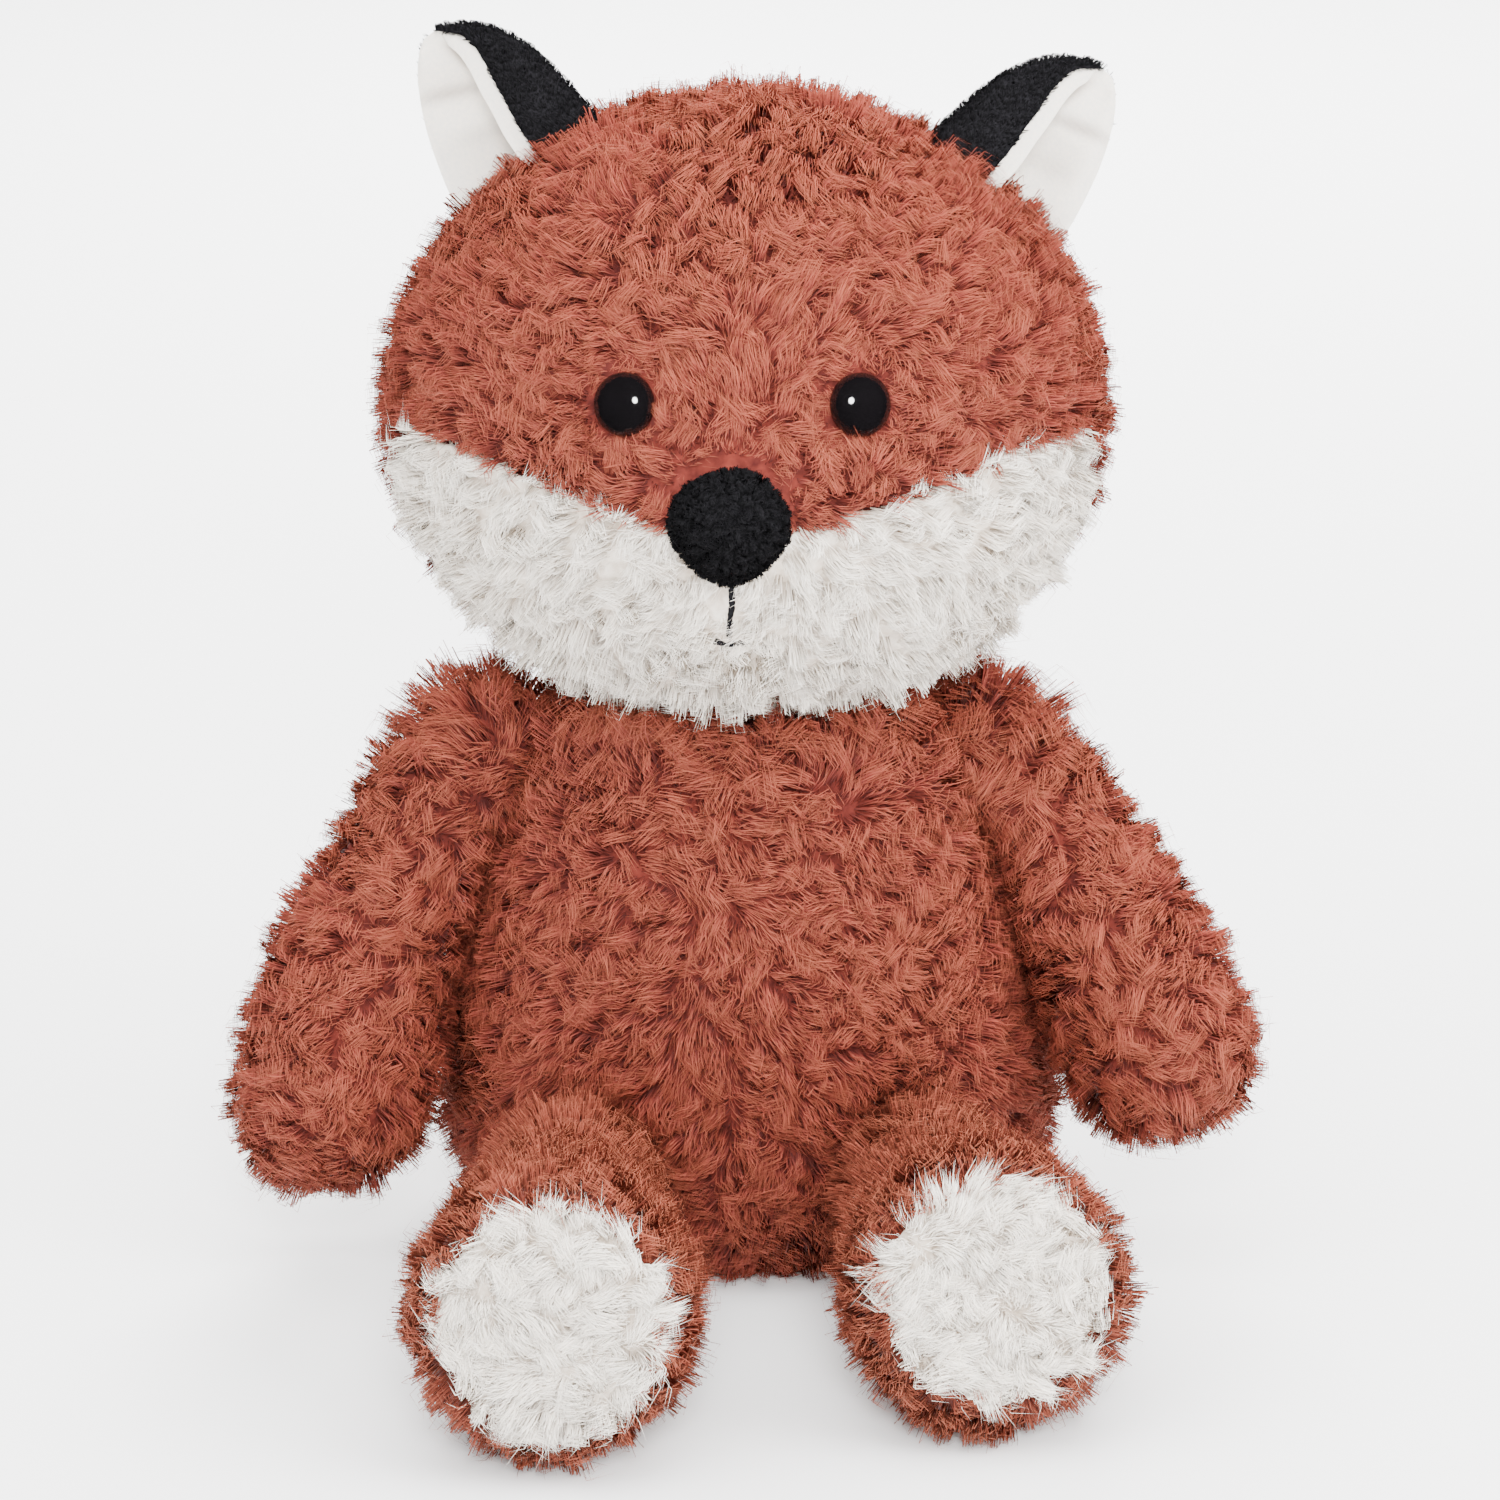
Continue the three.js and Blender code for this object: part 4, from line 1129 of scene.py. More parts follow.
def head_comb(points):
    """The way of the pile on the head: outwards from the middle, upwards over the brow, down at the cheeks
    and chin, and down the back, with a slow drift. Near the eyes and the nose it turns away from them."""
    centre = np.array([JOINTS["head_turn"][0], 0, HEAD_MIDDLE])
    away = points - centre
    wide, _, tall = (away / (60 * MM)).T
    comb = np.zeros_like(points)
    front = smooth_step(-away[:, 1], -10 * MM, 25 * MM)
    comb[:, 0] = np.sign(wide) * np.minimum(np.abs(wide) * 2.2, 1)
    brow = 0.7 - 0.9 * np.abs(wide)
    comb[:, 2] = np.where(tall > -0.05, brow * front - (1 - front), -0.9)
    top = smooth_step(tall, 0.3, 0.75)
    comb[:, 0] *= 1 - 0.5 * top
    comb[:, 1] = 0.35 * front * (1 - top) - 0.6 * front * top + 0.5 * (1 - front) * top
    comb += 0.8 * drift(points, 40 * MM, 11)
    # To both sides of the ears
    for side in SIDES:
        axes, place = ear_place(side)
        across, behind, up = ((points - place) @ axes.T).T
        beside = (np.abs(across) < 18 * MM) & (np.abs(up) < 14 * MM)
        near = beside * (1 - smooth_step(np.abs(behind), 1 * MM, 5 * MM))
        comb -= 0.8 * (np.sign(behind) * near)[:, None] * axes[1]
    # Away from the eyes, the nose and the mouth
    for side in SIDES:
        eye, axis, radius = eye_seat(side)
        out = flat_on(points - eye, np.broadcast_to(axis, points.shape))
        near = 1 - smooth_step(np.linalg.norm(out, axis=1), radius, radius * 1.9)
        comb += 1.9 * unit(out) * (near * (points[:, 1] < 0))[:, None]
    out = (points - nose_seat()[0]) * np.array([1, 0, 1])
    near = 1 - smooth_step(beside_nose(points), 1.0, 1.7)
    comb += 2.0 * unit(out) * near[:, None]
    side = np.sign(points[:, 0] - mouth_seat()[0])
    comb[:, 0] += 0.9 * side * (1 - smooth_step(mouth_line(points), 0, 5 * MM))
    return comb


def cheek(form):
    """Where the head is white: the muzzle's own faces and the low cheek behind them, up to a seam that
    curves forward towards the cheek's top."""
    pile = bpy.context.scene.fox_pile
    _, behind, height = form.surface(0).transpose(2, 0, 1)
    seam = pile.side_seam - 15 * MM * smooth_step(height, pile.cheek_top - 22 * MM, pile.cheek_top)
    low_cheek = (height > 121 * MM) & (height < pile.cheek_top - 18 * MM) & (behind < pile.side_seam)
    white = ((form.owner == WHITE_NODES["muzzle"]) | low_cheek) & (behind < seam) & (height < pile.cheek_top)
    return spread_out(white, np.maximum)


class FOX_OT_head(bpy.types.Operator):
    """Sews the head: rust cloth and pile over the crown and round the back, white over the muzzle"""

    bl_idname = "fox.head"
    bl_label = "Head"

    def execute(self, context):
        form = form_of("head")
        white = cheek(form)
        two_cloths(
            form, white, "head", "rust", ("crown_cloth", "crown_skin"), ("muzzle_cloth", "muzzle_skin")
        )
        wadding_piece("head_wadding", form, "head", ["head_stuffing"])
        front, parting = -5 * MM, -1 * MM
        panels = {
            "face": lambda p: p[:, 1] < front,
            "back_left": lambda p: (p[:, 1] >= front) & (p[:, 0] > parting),
            "back_right": lambda p: (p[:, 1] >= front) & (p[:, 0] <= parting),
        }
        for number, (panel, inside) in enumerate(panels.items()):
            pile_piece(
                f"crown_pile_{panel}", form, "rust", "head", head_comb, ~white, 20 + number,
                kind="brow" if panel == "face" else "curly", refine=inside, shorten=face_shorten,
            )
        pile_piece(
            "muzzle_pile", form, "white", "head", head_comb, white, 25,
            kind="muzzle", shorten=face_shorten,
        )
        return {"FINISHED"}


def turned(profile, centre, axis, columns):
    """A profile of heights and radii carried round an axis as a grid of points."""
    side = unit(np.cross(axis, Z))
    other = np.cross(axis, side)
    turn = np.linspace(0, math.tau, columns, endpoint=False)[None, :, None]
    ring = np.cos(turn) * side + np.sin(turn) * other
    heights, radii = profile[:, 0], profile[:, 1]
    return centre + heights[:, None, None] * axis + radii[:, None, None] * ring


def eye_profile(side):
    """Heights and radii of an eye: its ridged shank as measured on the node, a flat back, a rounded rim and a
    dome that is a quarter of an oval."""
    centre, axis, radius = eye_seat(side)
    eye = node_points(f"eye_{side}")
    heights = (eye - centre) @ axis
    radii = off_axis(eye, centre, axis)
    shank = np.unique(np.round(np.stack([heights, radii], 1)[radii < radius * 0.6], 5), axis=0)
    rim = heights[radii > radius * 0.97]
    top = heights.max()
    shank = shank[(shank[:, 0] < rim.min() - 0.01 * MM) & (shank[:, 1] > 0)]
    rise = np.linspace(0, math.pi / 2, 22)
    dome = np.stack([rim.max() + (top - rim.max()) * np.sin(rise), radius * np.cos(rise)], 1)
    bevel = 0.25 * MM
    low = rim.min()
    back = np.array([[low, shank[-1, 1]], [low, radius - bevel], [low + bevel, radius]])
    end = np.array([[shank[0, 0], 0]])
    return np.concatenate([end, shank, back, dome]), centre, axis


def eye_material():
    """Glossy black plastic, with the faintest cloudiness in its gloss."""
    c = bpy.context.scene.fox_colours
    material, tree, shader = new_material("Eye plastic", 0.08, specular=0.8)
    cloud = maths(tree, "MULTIPLY", noise(tree, 600, 2), 0.05)
    tree.links.new(maths(tree, "ADD", cloud, 0.05), shader.inputs["Roughness"])
    shade = mixed(tree, "MIX", noise(tree, 200, 1), tuple(c.eye), tuple(v * 1.6 for v in c.eye))
    tree.links.new(shade, shader.inputs["Base Color"])
    return material


def washer_material():
    """Clear moulded plastic, faintly rough."""
    material, tree, shader = new_material("Washer plastic", 0.35)
    shade = mixed(tree, "MIX", noise(tree, 900, 2), (0.62, 0.64, 0.66), (0.74, 0.76, 0.78))
    tree.links.new(shade, shader.inputs["Base Color"])
    return material


def nose_form():
    low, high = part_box("nose_pad")
    x, y = (low.x + high.x) / 2, low.y + (high.y - low.y) * 0.55
    spine = np.linspace([x, y, low.z + 8 * MM], [x, y, high.z - 7 * MM], 10)
    return Form(("nose_pad",), spine, Y, columns=48, caps=(8, 8), outside=0.03, passes=1)


THREAD = 0.62 * MM  # the radius of the mouth's thread
THREAD_TWIST = 1.6 * MM  # the length over which its two strands turn once


def thread_mesh(name, points, radius):
    """A twisted thread: a round of ten points carried along a path, whose radius swells and shrinks as
    its two strands turn round each other."""
    along = unit(np.gradient(points, axis=0))
    side = unit(np.cross(along, Y))
    other = np.cross(along, side)
    steps = np.concatenate([[0], np.cumsum(np.linalg.norm(np.diff(points, axis=0), axis=1))])
    turn = np.linspace(0, math.tau, 10, endpoint=False)[None, :]
    twist = steps[:, None] / THREAD_TWIST * math.tau
    swell = radius * (0.86 + 0.2 * np.abs(np.cos(turn - twist / 2)))
    swell[0] = swell[-1] = 0
    ring = np.cos(turn)[..., None] * side[:, None] + np.sin(turn)[..., None] * other[:, None]
    return quads_mesh(name, points[:, None] + ring * swell[..., None])


def on_face(across, up, sunk):
    """Points on the front of the head at given places across and up, sunk in its surface."""
    tree, _ = solids(HEAD_SKINS)
    points = []
    for x, z, low in zip(across, up, np.broadcast_to(sunk, len(up))):
        hit, normal, _, _ = tree.ray_cast(Vector((x, -0.2, z)), Vector((0, 1, 0)), 0.3)
        points.append(np.array(hit) - np.array(normal) * low)
    return np.array(points)


class FOX_OT_face(bpy.types.Operator):
    """Sets the glossy eyes, the velour nose and the stitched mouth in the face"""

    bl_idname = "fox.face"
    bl_label = "Face"

    def execute(self, context):
        gloss = eye_material()
        for side in SIDES:
            dome = quads_mesh(f"eye_dome_{side}", turned(*eye_profile(side), 48))
            eye = new_object(f"eye_dome_{side}", dome)
            dress(eye, gloss, "head", [f"eye_{side}"])
            frame["nodes"][f"eye_washer_{side}"].data.materials.clear()
            frame["nodes"][f"eye_washer_{side}"].data.materials.append(washer_material())
        form = nose_form()
        form.depth[:] = 0.9 * MM
        points = form.finer(form.surface(form.depth), 1.5)
        nose = new_object("nose_cloth", quads_mesh("nose_cloth", points))
        dress(nose, material_of("black cloth"), "head", ["nose_pad"])
        centre, _, _ = nose_seat()
        pile_piece(
            "nose_nap", form, "black", "head", lambda p: p - centre, form.everywhere(), 31,
            kind="nose", refine=lambda p: p[:, 1] < centre[1] + NOSE_REACH,
        )
        # Both threads lie sunk in the parted pile, the upright one deeper towards its lower end
        middle, bar, top = mouth_seat()
        share = np.linspace(0, 1, 40)
        weave = middle + 0.25 * MM * np.sin(5 * share)
        across = middle + (2 * share - 1) * MOUTH_HALF
        sag = bar - 0.6 * MM * np.sin(math.pi * share)
        stitches = {
            "mouth_thread_upright": on_face(weave, top + (bar - top) * share, (1.4 + 1.2 * share) * MM),
            "mouth_thread_level": on_face(across, sag, 1.9 * MM),
        }
        for name, points in stitches.items():
            ends = points[[0, -1]] + Y * 3 * MM
            points = np.concatenate([ends[:1], points, ends[1:]])
            thread = new_object(name, thread_mesh(name, points, THREAD))
            dress(thread, material_of("black cloth"), "head", ["mouth_stitch"])
        return {"FINISHED"}


# Ears

# Height, then the outer edge, the fold, the fold's radius and the folded wing as shares of the half width
EAR_SHARES = np.array([
    [-0.14, 1, 1, 0.34, 0.39],
    [0, 1, 1, 0.34, 0.39],
    [0.17, 0.95, 0.96, 0.32, 0.38],
    [0.33, 0.88, 0.91, 0.3, 0.32],
    [0.5, 0.79, 0.83, 0.27, 0.26],
    [0.64, 0.69, 0.72, 0.22, 0.18],
    [0.77, 0.57, 0.57, 0.16, 0.11],
    [0.88, 0.44, 0.37, 0.1, 0.05],
    [0.96, 0.3, 0.14, 0.07, 0.02],
    [1, 0.17, 0.02, 0.05, 0.01],
])
EAR_FOLD = math.radians(160)
EAR_LENGTH = 0.965  # the leaf's length as a share of its solid's
EAR_STEPS = (22, 14, 8)  # points of a leaf's path on the flat, round the fold and on the wing
EAR_GAP = 0.15 * MM  # from the middle of the ear to each leaf's inner face
EAR_THICK = 1.75 * MM  # from there to the lining's outer face
BACK_THICK = -EAR_THICK + 0.5 * MM  # and to the back's
# Where each crease starts and ends, as shares of the half width and of the length, its depth and its width
EAR_CREASES = (
    ((0.02, 0.88), (0.2, 0.62), 1.4 * MM, 1.1 * MM),
    ((0.2, 0.62), (0.24, 0.12), 1.4 * MM, 1.1 * MM),
    ((-0.68, 0.7), (0.12, 0.54), 1.3 * MM, 1.3 * MM),
    ((-0.5, 0.32), (0.1, 0.24), 0.6 * MM, 2.2 * MM),
)


def ear_place(side):
    """An ear's own axes: x along its root, which is its joint's axis, y square to its flat leaf, which is
    the way that most of the lining's faces look, and z up the leaf. Its root is the joint's place."""
    root = unit(AXES[f"ear_{side}_bend"])
    lining = f"ear_lining_{side}"
    a, b, c = node_points(lining)[node_triangles(lining)].transpose(1, 0, 2)
    square = np.cross(b - a, c - a)
    area = np.linalg.norm(square, axis=1)
    ways = square / np.maximum(area, 1e-15)[:, None]
    alike = (np.abs(ways @ ways.T) > 0.999) @ area
    back = ways[alike.argmax()]
    back = unit(flat_on(back, root)) * (1 if back[1] > 0 else -1)
    return np.stack([root, back, np.cross(root, back)]), JOINTS[f"ear_{side}_bend"]


def ear_creases(across, up, half, length):
    """How deep the creases press an ear at places across and up it: valleys along straight lines that
    fade out towards their ends."""
    total = np.zeros(across.shape)
    size = np.array([half, length])
    places = np.stack([across, up], -1)
    for start, end, depth, width in EAR_CREASES:
        start, line = start * size, (np.array(end) - start) * size
        share = np.clip((places - start) @ line / (line @ line), 0, 1)
        far = np.linalg.norm(places - start - share[..., None] * line, axis=-1)
        total -= depth * np.exp(-((far / width) ** 2)) * (0.5 + 0.5 * np.sin(math.pi * share))
    return total


def ear_path(heights, half, roll):
    """At every height, a path from the outer edge along the flat, round the fold and back along the wing,
    which may roll on past its seam. Each point is its place across, its place behind and its turn."""
    shares = np.stack([np.interp(heights, EAR_SHARES[:, 0], column) for column in EAR_SHARES[:, 1:].T], 1)
    for _ in range(2):
        shares[1:-1] = (shares[:-2] + 2 * shares[1:-1] + shares[2:]) / 4
    outer, fold, radius, wing = (shares * half).T[..., None]
    wing = wing + roll * smooth_step(1 - heights, 0, 0.15)[:, None]
    flat_end = fold - radius
    s, bent, t = (np.linspace(0, 1, steps)[None] for steps in EAR_STEPS)
    straight = flat_end * s - outer * (1 - s)
    flat = np.stack([straight, 0 * straight, 0 * straight], 2)
    turn, t = EAR_FOLD * bent[:, 1:], t[:, 1:]
    bend = np.stack([flat_end + radius * np.sin(turn), -radius * (1 - np.cos(turn)), turn + 0 * radius], 2)
    run = wing * t
    wings = bend[:, -1:] + np.stack([run * math.cos(EAR_FOLD), -run * math.sin(EAR_FOLD), 0 * run], 2)
    return np.concatenate([flat, bend, wings], 1)


def ear_leaf(side, low, high, rim, seed, roll=0.0):
    """One leaf: its two faces stand off its path, between low and high, and thin to nothing at the rim,
    just inside which it swells by the share rim. Returns the closed leaf, its outer face, and how dark
    the painted shade in its creases is."""
    axes, place = ear_place(side)
    own = (node_points(f"ear_back_{side}") - place) @ axes.T
    length = own[:, 2].max() * EAR_LENGTH
    half = own[:, 0].max() if side == "right" else -own[:, 0].min()
    round_tip = np.sin(np.linspace(0.1, math.pi / 2, 14))
    heights = np.concatenate([np.linspace(EAR_SHARES[0, 0], 0.8, 28), 1 - 0.2 * (1 - round_tip)])
    path = ear_path(heights, half, roll)
    steps = path.shape[1]
    # Thin over the last three steps at the sides and the last 1.4 mm at the tip, and swollen just inside
    edge = np.minimum(np.arange(steps), np.arange(steps)[::-1]) / 3
    top = (1 - heights) * length / (1.4 * MM)
    thin = np.sqrt(np.clip(edge, 0, 1))[None] * np.sqrt(np.clip(top, 0, 1))[:, None]
    rolled = 1 + rim * np.exp(-((edge[None] - 1) ** 2)) * (top[:, None] > 1)
    # Pressed in by its creases and drifting a little, on the flat part and most of all halfway up
    up = heights[:, None] * length + 0 * path[..., 0]
    grain = np.stack([path[..., 0], up, 0 * up], 2).reshape(-1, 3)
    crease = 0.9 * MM * drift(grain, 15 * MM, seed)[:, 0].reshape(up.shape)
    pressed = ear_creases(path[..., 0], up, half, length)
    # How dark the painted crease shade is, by the first crease's depth, on the flat and the fold's start
    shade = -pressed / EAR_CREASES[0][2] * smooth_step(1 - path[..., 2], 0.5, 1)
    on_flat = smooth_step(1 - path[..., 2], 0, 1)
    halfway = np.sin(np.pi * np.clip(heights, 0, 1))[:, None]
    crease = (crease + pressed) * thin * on_flat * halfway
    faces = []
    for offset in (low, high):
        middle = (low + high) / 2
        reach = middle + (offset - middle) * thin * rolled + crease
        x = path[..., 0] - reach * np.sin(path[..., 2])
        y = path[..., 1] - reach * np.cos(path[..., 2])
        faces.append(np.stack([-SIDES[side] * x, y, up], 2))
    ring = np.concatenate([faces[0], faces[1][:, ::-1]], 1)
    base, tip = ring[:1].mean(1, keepdims=True), ring[-1:].mean(1, keepdims=True)
    ring = np.concatenate([np.repeat(base, ring.shape[1], 1), ring, np.repeat(tip, ring.shape[1], 1)])
    shade = np.pad(np.concatenate([shade, shade[:, ::-1]], 1), ((1, 1), (0, 0)))
    return ring @ axes + place, faces[1 if abs(high) > abs(low) else 0] @ axes + place, shade


def outward(mesh):
    """Turns a closed mesh's faces outwards."""
    work = bmesh.new()
    work.from_mesh(mesh)
    bmesh.ops.recalc_face_normals(work, faces=work.faces)
    work.to_mesh(mesh)
    work.free()
    return mesh


class FOX_OT_ears(bpy.types.Operator):
    """Sews the ears, each of two velour leaves with the inner edge folded forward"""

    bl_idname = "fox.ears"
    bl_label = "Ears"

    def execute(self, context):
        for seed, side in enumerate(SIDES):
            body = f"ear_{side}"
            front, rear = f"ear_front_{side}", f"ear_rear_{side}"
            # The lining's shade grid is the painted crease shade that its velour darkens by
            lining, _, shade = ear_leaf(side, EAR_GAP, EAR_THICK, 0.9, 40 + seed, 3.2 * MM)
            piece = new_object(front, outward(quads_mesh(front, lining, shade=shade)))
            dress(piece, material_of("velour"), body, [f"ear_lining_{side}"])
            back, face, _ = ear_leaf(side, BACK_THICK, -EAR_GAP, 0.25, 40 + seed)
            piece = new_object(rear, outward(quads_mesh(rear, back)))
            dress(piece, material_of("black cloth"), body, [f"ear_back_{side}"])
            nap = ear_nap(f"ear_nap_{side}", side, np.ascontiguousarray(face), 44 + seed)
            dress(nap, material_of("black"), body)
        return {"FINISHED"}


def ear_nap(name, side, face, seed):
    """Short black nap on an ear's back: strands at random places of its outer face, combed to the tip."""
    ways = pile_ways("ear")
    down = face[1:, :-1] - face[:-1, :-1]
    across = face[:-1, 1:] - face[:-1, :-1]
    square = np.cross(down, across)
    area = np.linalg.norm(square, axis=2)
    rng = np.random.default_rng(seed)
    count = int(area.sum() / MM**2 * ways["density"])
    cell = np.searchsorted(np.cumsum(area.ravel()), rng.random(count) * area.sum()).clip(0, area.size - 1)
    row, column = np.unravel_index(cell, area.shape)
    s, t = rng.random((2, count, 1))
    roots = face[row, column] + s * down[row, column] + t * across[row, column]
    normals = unit(square)[row, column]
    axes, place = ear_place(side)
    behind = place + axes[1] * 0.2
    flat = column < EAR_STEPS[0] - 1
    if np.mean(((behind - roots[flat]) * normals[flat]).sum(1)) < 0:
        normals = -normals
    mesh = grow(name, roots, normals, np.broadcast_to(axes[2], roots.shape), ways, rng)
    return new_object(name, mesh)


# Torso, arms, legs and tail


def torso_comb(points):
    """The way of the pile on the torso: down and a little outwards, but up round the neck, with a strong
    slow drift."""
    comb = np.zeros_like(points)
    comb[:, 0] = 0.35 * points[:, 0] / (50 * MM)
    comb[:, 2] = 1.3 * smooth_step(points[:, 2], 92 * MM, NECK_TOP) - 0.75
    return comb + 0.75 * drift(points, 40 * MM, 12)


def collar(points):
    """The share of its usual height that pile has on the torso and the arms: more towards the neck."""
    return 1 + 0.7 * smooth_step(points[:, 2], 90 * MM, NECK_TOP)


def limb_comb(form, keen, seed, mess=0.6):
    """Pile combed along a limb's spine, from its root to its end."""
    def comb(points):
        nearest = np.linalg.norm(points[:, None] - form.centres[None, ::3], axis=2).argmin(1)
        return keen * form.along[::3][nearest] + mess * drift(points, 36 * MM, seed)
    return comb


def sole_comb(middle):
    """Pile that drifts in the middle of a sole and turns outwards towards its edge."""
    def comb(points):
        out = (points - middle) / (21 * MM)
        return 0.6 * out * np.linalg.norm(out, axis=1, keepdims=True) + 0.9 * drift(points, 20 * MM, 19)
    return comb


class FOX_OT_torso(bpy.types.Operator):
    """Sews the torso and fills it: rust cloth and pile, wadding and the bean pouch"""

    bl_idname = "fox.torso"
    bl_label = "Torso"

    def execute(self, context):
        form = form_of("torso")
        cloth_piece("torso_cloth", form, "rust cloth", "torso", ["torso_skin"])
        wadding_piece("torso_wadding", form, "torso", ["torso_stuffing"])
        panels = {
            "front_left": lambda p: (p[:, 1] < 0) & (p[:, 0] > 0),
            "front_right": lambda p: (p[:, 1] < 0) & (p[:, 0] <= 0),
            "back_left": lambda p: (p[:, 1] >= 0) & (p[:, 0] > 0),
            "back_right": lambda p: (p[:, 1] >= 0) & (p[:, 0] <= 0),
        }
        for number, (panel, inside) in enumerate(panels.items()):
            pile_piece(
                f"torso_pile_{panel}", form, "rust", "torso", torso_comb, form.everywhere(),
                50 + number, refine=inside, shorten=collar,
            )
        dress(pouch(), material_of("pouch"), "torso", ["bean_pouch"])
        return {"FINISHED"}


def pouch():
    """The bean pouch: a flattened ball whose edge draws in to a seam, with small lumps of beans."""
    low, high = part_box("bean_pouch")
    middle = np.array((low + high) / 2)
    half = np.array((high - low) / 2) - 0.2 * MM
    rise = np.linspace(-math.pi / 2, math.pi / 2, 40)[:, None]
    turn = np.linspace(0, math.tau, 64, endpoint=False)[None]
    flat = np.sign(np.sin(rise)) * np.abs(np.sin(rise)) ** 0.8
    ball = np.stack([np.cos(rise) * np.cos(turn), np.cos(rise) * np.sin(turn), flat + 0 * turn], 2)
    points = middle + ball * half
    _, gap, _ = tufts(points.reshape(-1, 3), 4 * MM)
    lumps = 0.5 * MM * (smooth_step(gap, 0, 0.5) - 1).reshape(points.shape[:2])
    lumps[0] = lumps[-1] = -0.2 * MM
    points = points + ball * lumps[..., None]
    piece = new_object("bean_pouch_cloth", quads_mesh("bean_pouch_cloth", points))
    return piece


class FOX_OT_arms(bpy.types.Operator):
    """Sews both arms"""

    bl_idname = "fox.arms"
    bl_label = "Arms"

    def execute(self, context):
        for seed, side in enumerate(SIDES):
            body = f"arm_{side}"
            form = form_of(body)
            cloth_piece(f"arm_cloth_{side}", form, "rust cloth", body, [f"arm_skin_{side}"])
            wadding_piece(f"arm_wadding_{side}", form, body, [f"arm_stuffing_{side}"])
            comb = limb_comb(form, 0.9, 13 + seed)
            pile_piece(
                f"arm_pile_{side}", form, "rust", body, comb, form.everywhere(), 60 + seed,
                kind="arm", shorten=collar,
            )
        return {"FINISHED"}


class FOX_OT_legs(bpy.types.Operator):
    """Sews both legs with their white soles"""

    bl_idname = "fox.legs"
    bl_label = "Legs"

    def execute(self, context):
        for seed, side in enumerate(SIDES):
            body = f"leg_{side}"
            form = form_of(body)
            white = form.white_panel(WHITE_NODES["leg"])
            under, over = (f"leg_cloth_{side}", f"leg_skin_{side}"), (f"sole_cloth_{side}", f"sole_{side}")
            two_cloths(form, white, body, "foot", under, over)
            wadding_piece(f"leg_wadding_{side}", form, body, [f"leg_stuffing_{side}"])
            comb = limb_comb(form, 0.5, 15 + seed, 0.8)
            pile_piece(
                f"leg_pile_{side}", form, "foot", body, comb, ~white, 70 + seed, kind="leg"
            )
            comb = sole_comb(node_points(f"sole_{side}").mean(0))
            pile_piece(
                f"sole_pile_{side}", form, "white", body, comb, white, 74 + seed, kind="sole"
            )
        return {"FINISHED"}


class FOX_OT_tail(bpy.types.Operator):
    """Sews the bushy tail with its white tip"""

    bl_idname = "fox.tail"
    bl_label = "Tail"

    def execute(self, context):
        form = form_of("tail")
        white = form.white_panel(WHITE_NODES["tail"])
        two_cloths(form, white, "tail", "rust", ("tail_cloth", "tail_skin"), ("tail_tip_cloth", "tail_tip"))
        wadding_piece("tail_wadding", form, "tail", ["tail_stuffing"])
        comb = limb_comb(form, 1.0, 17)
        pile_piece("tail_pile", form, "rust", "tail", comb, ~white, 80)
        pile_piece("tail_tip_pile", form, "white", "tail", comb, white, 81)
        return {"FINISHED"}


# Stage


# Each lamp's name, place, aim, size in metres, power in watts, shape, and whether glossy pieces mirror it
LAMPS = (
    ("Key", (0.05, -1.22, 0.74), (0, 0, 0.12), 0.36, 26, "DISK", True),
    ("Top", (0, -0.2, 1.6), (0, 0, 0), 2.0, 80, "SQUARE", False),
    ("Right", (1.3, -0.6, 0.8), (0, 0, 0.1), 1.0, 32, "DISK", False),
    ("Left", (-1.3, -0.6, 0.8), (0, 0, 0.1), 1.0, 8, "DISK", False),
    ("Back", (0.1, 1.2, 0.9), (0, 0, 0.12), 1.0, 60, "DISK", False),
)


def area_light(name, place, aim, size, power, shape, mirrored):
    light = bpy.data.lights.new(name, "AREA")
    light.shape = shape
    light.size = size
    light.energy = power
    lamp = new_object(name, light)
    lamp.location = place
    lamp.rotation_euler = (Vector(aim) - Vector(place)).to_track_quat("-Z", "Y").to_euler()
    lamp.visible_glossy = mirrored


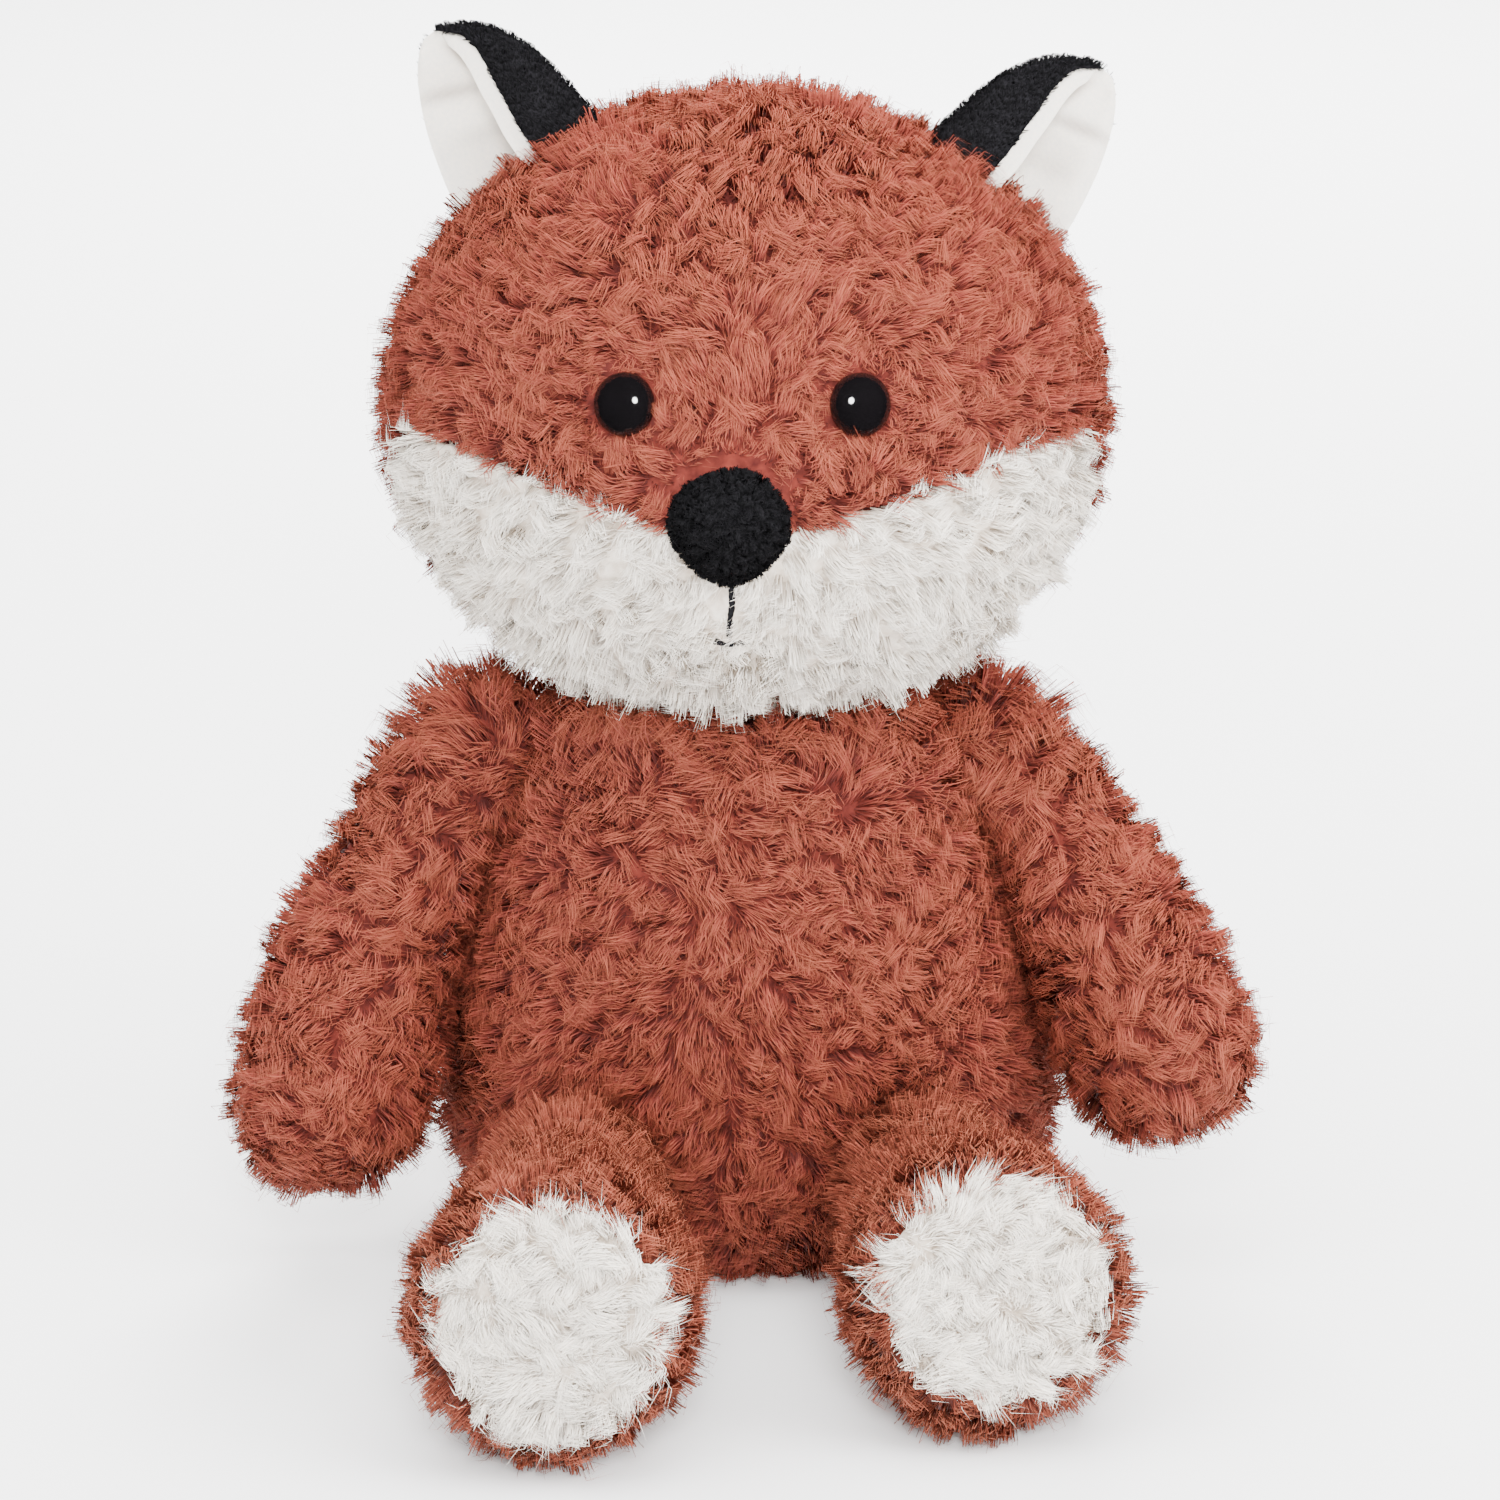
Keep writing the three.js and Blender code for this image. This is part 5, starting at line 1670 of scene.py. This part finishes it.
class FOX_OT_stage(bpy.types.Operator):
    """Sets the camera, the pale floor and the soft studio light"""

    bl_idname = "fox.stage"
    bl_label = "Stage"

    def execute(self, context):
        s = context.scene.fox_stage
        aim = np.array([0, -s.aim_forward, s.aim_height])
        back = np.array([0, -math.cos(s.elevation), math.sin(s.elevation)])
        camera = bpy.data.cameras.new("Camera")
        camera.lens = s.lens
        camera.clip_start, camera.clip_end = 0.05, 20
        seat = new_object("Camera", camera)
        seat.location = aim + back * s.distance
        seat.rotation_euler = Vector(-back).to_track_quat("-Z", "Y").to_euler()
        context.scene.camera = seat
        half = 6.0
        corners = [(-half, -half, 0), (half, -half, 0), (half, half, 0), (-half, half, 0)]
        mesh = bpy.data.meshes.new("Floor")
        mesh.from_pydata(corners, [], [(0, 1, 2, 3)])
        material, tree, shader = new_material("Floor", 0.9)
        shade = mixed(tree, "MIX", noise(tree, 3, 2), tuple(s.ground), tuple(v * 0.985 for v in s.ground))
        tree.links.new(shade, shader.inputs["Base Color"])
        mesh.materials.append(material)
        floor = new_object("Floor", mesh)
        floor.visible_glossy = False
        for lamp in LAMPS:
            area_light(*lamp)
        world = bpy.data.worlds.new("Studio")
        world.use_nodes = True
        background = world.node_tree.nodes["Background"]
        background.inputs["Color"].default_value = (1, 1, 1, 1)
        background.inputs["Strength"].default_value = 1.05
        context.scene.world = world
        world.cycles_visibility.glossy = False
        return {"FINISHED"}


class FOX_PT_panel(bpy.types.Panel):
    """The fox's sizes, colours and steps"""

    bl_idname = "FOX_PT_panel"
    bl_label = "Plush fox"
    bl_space_type = "VIEW_3D"
    bl_region_type = "UI"
    bl_category = "Plush fox"

    def draw(self, context):
        for group in (context.scene.fox_pile, context.scene.fox_colours, context.scene.fox_stage):
            box = self.layout.box()
            for name in group.__annotations__:
                box.prop(group, name)
        for step in STEPS:
            self.layout.operator(step.bl_idname)


GROUP_TYPES = {"fox_pile": FoxPile, "fox_colours": FoxColours, "fox_stage": FoxStage}
STEPS = (
    FOX_OT_stage, FOX_OT_head, FOX_OT_face, FOX_OT_ears, FOX_OT_torso, FOX_OT_arms, FOX_OT_legs, FOX_OT_tail,
)


def register():
    for kind in (*GROUP_TYPES.values(), *STEPS, FOX_PT_panel):
        bpy.utils.register_class(kind)
    for name, kind in GROUP_TYPES.items():
        setattr(bpy.types.Scene, name, PointerProperty(type=kind))


def unregister():
    for name in GROUP_TYPES:
        delattr(bpy.types.Scene, name)
    for kind in (FOX_PT_panel, *STEPS[::-1], *GROUP_TYPES.values()):
        bpy.utils.unregister_class(kind)


def main():
    register()
    bpy.ops.fox.stage()
    bpy.ops.fox.head()
    bpy.ops.fox.face()
    bpy.ops.fox.ears()
    bpy.ops.fox.torso()
    bpy.ops.fox.arms()
    bpy.ops.fox.legs()
    bpy.ops.fox.tail()


if __name__ == "__main__":
    main()
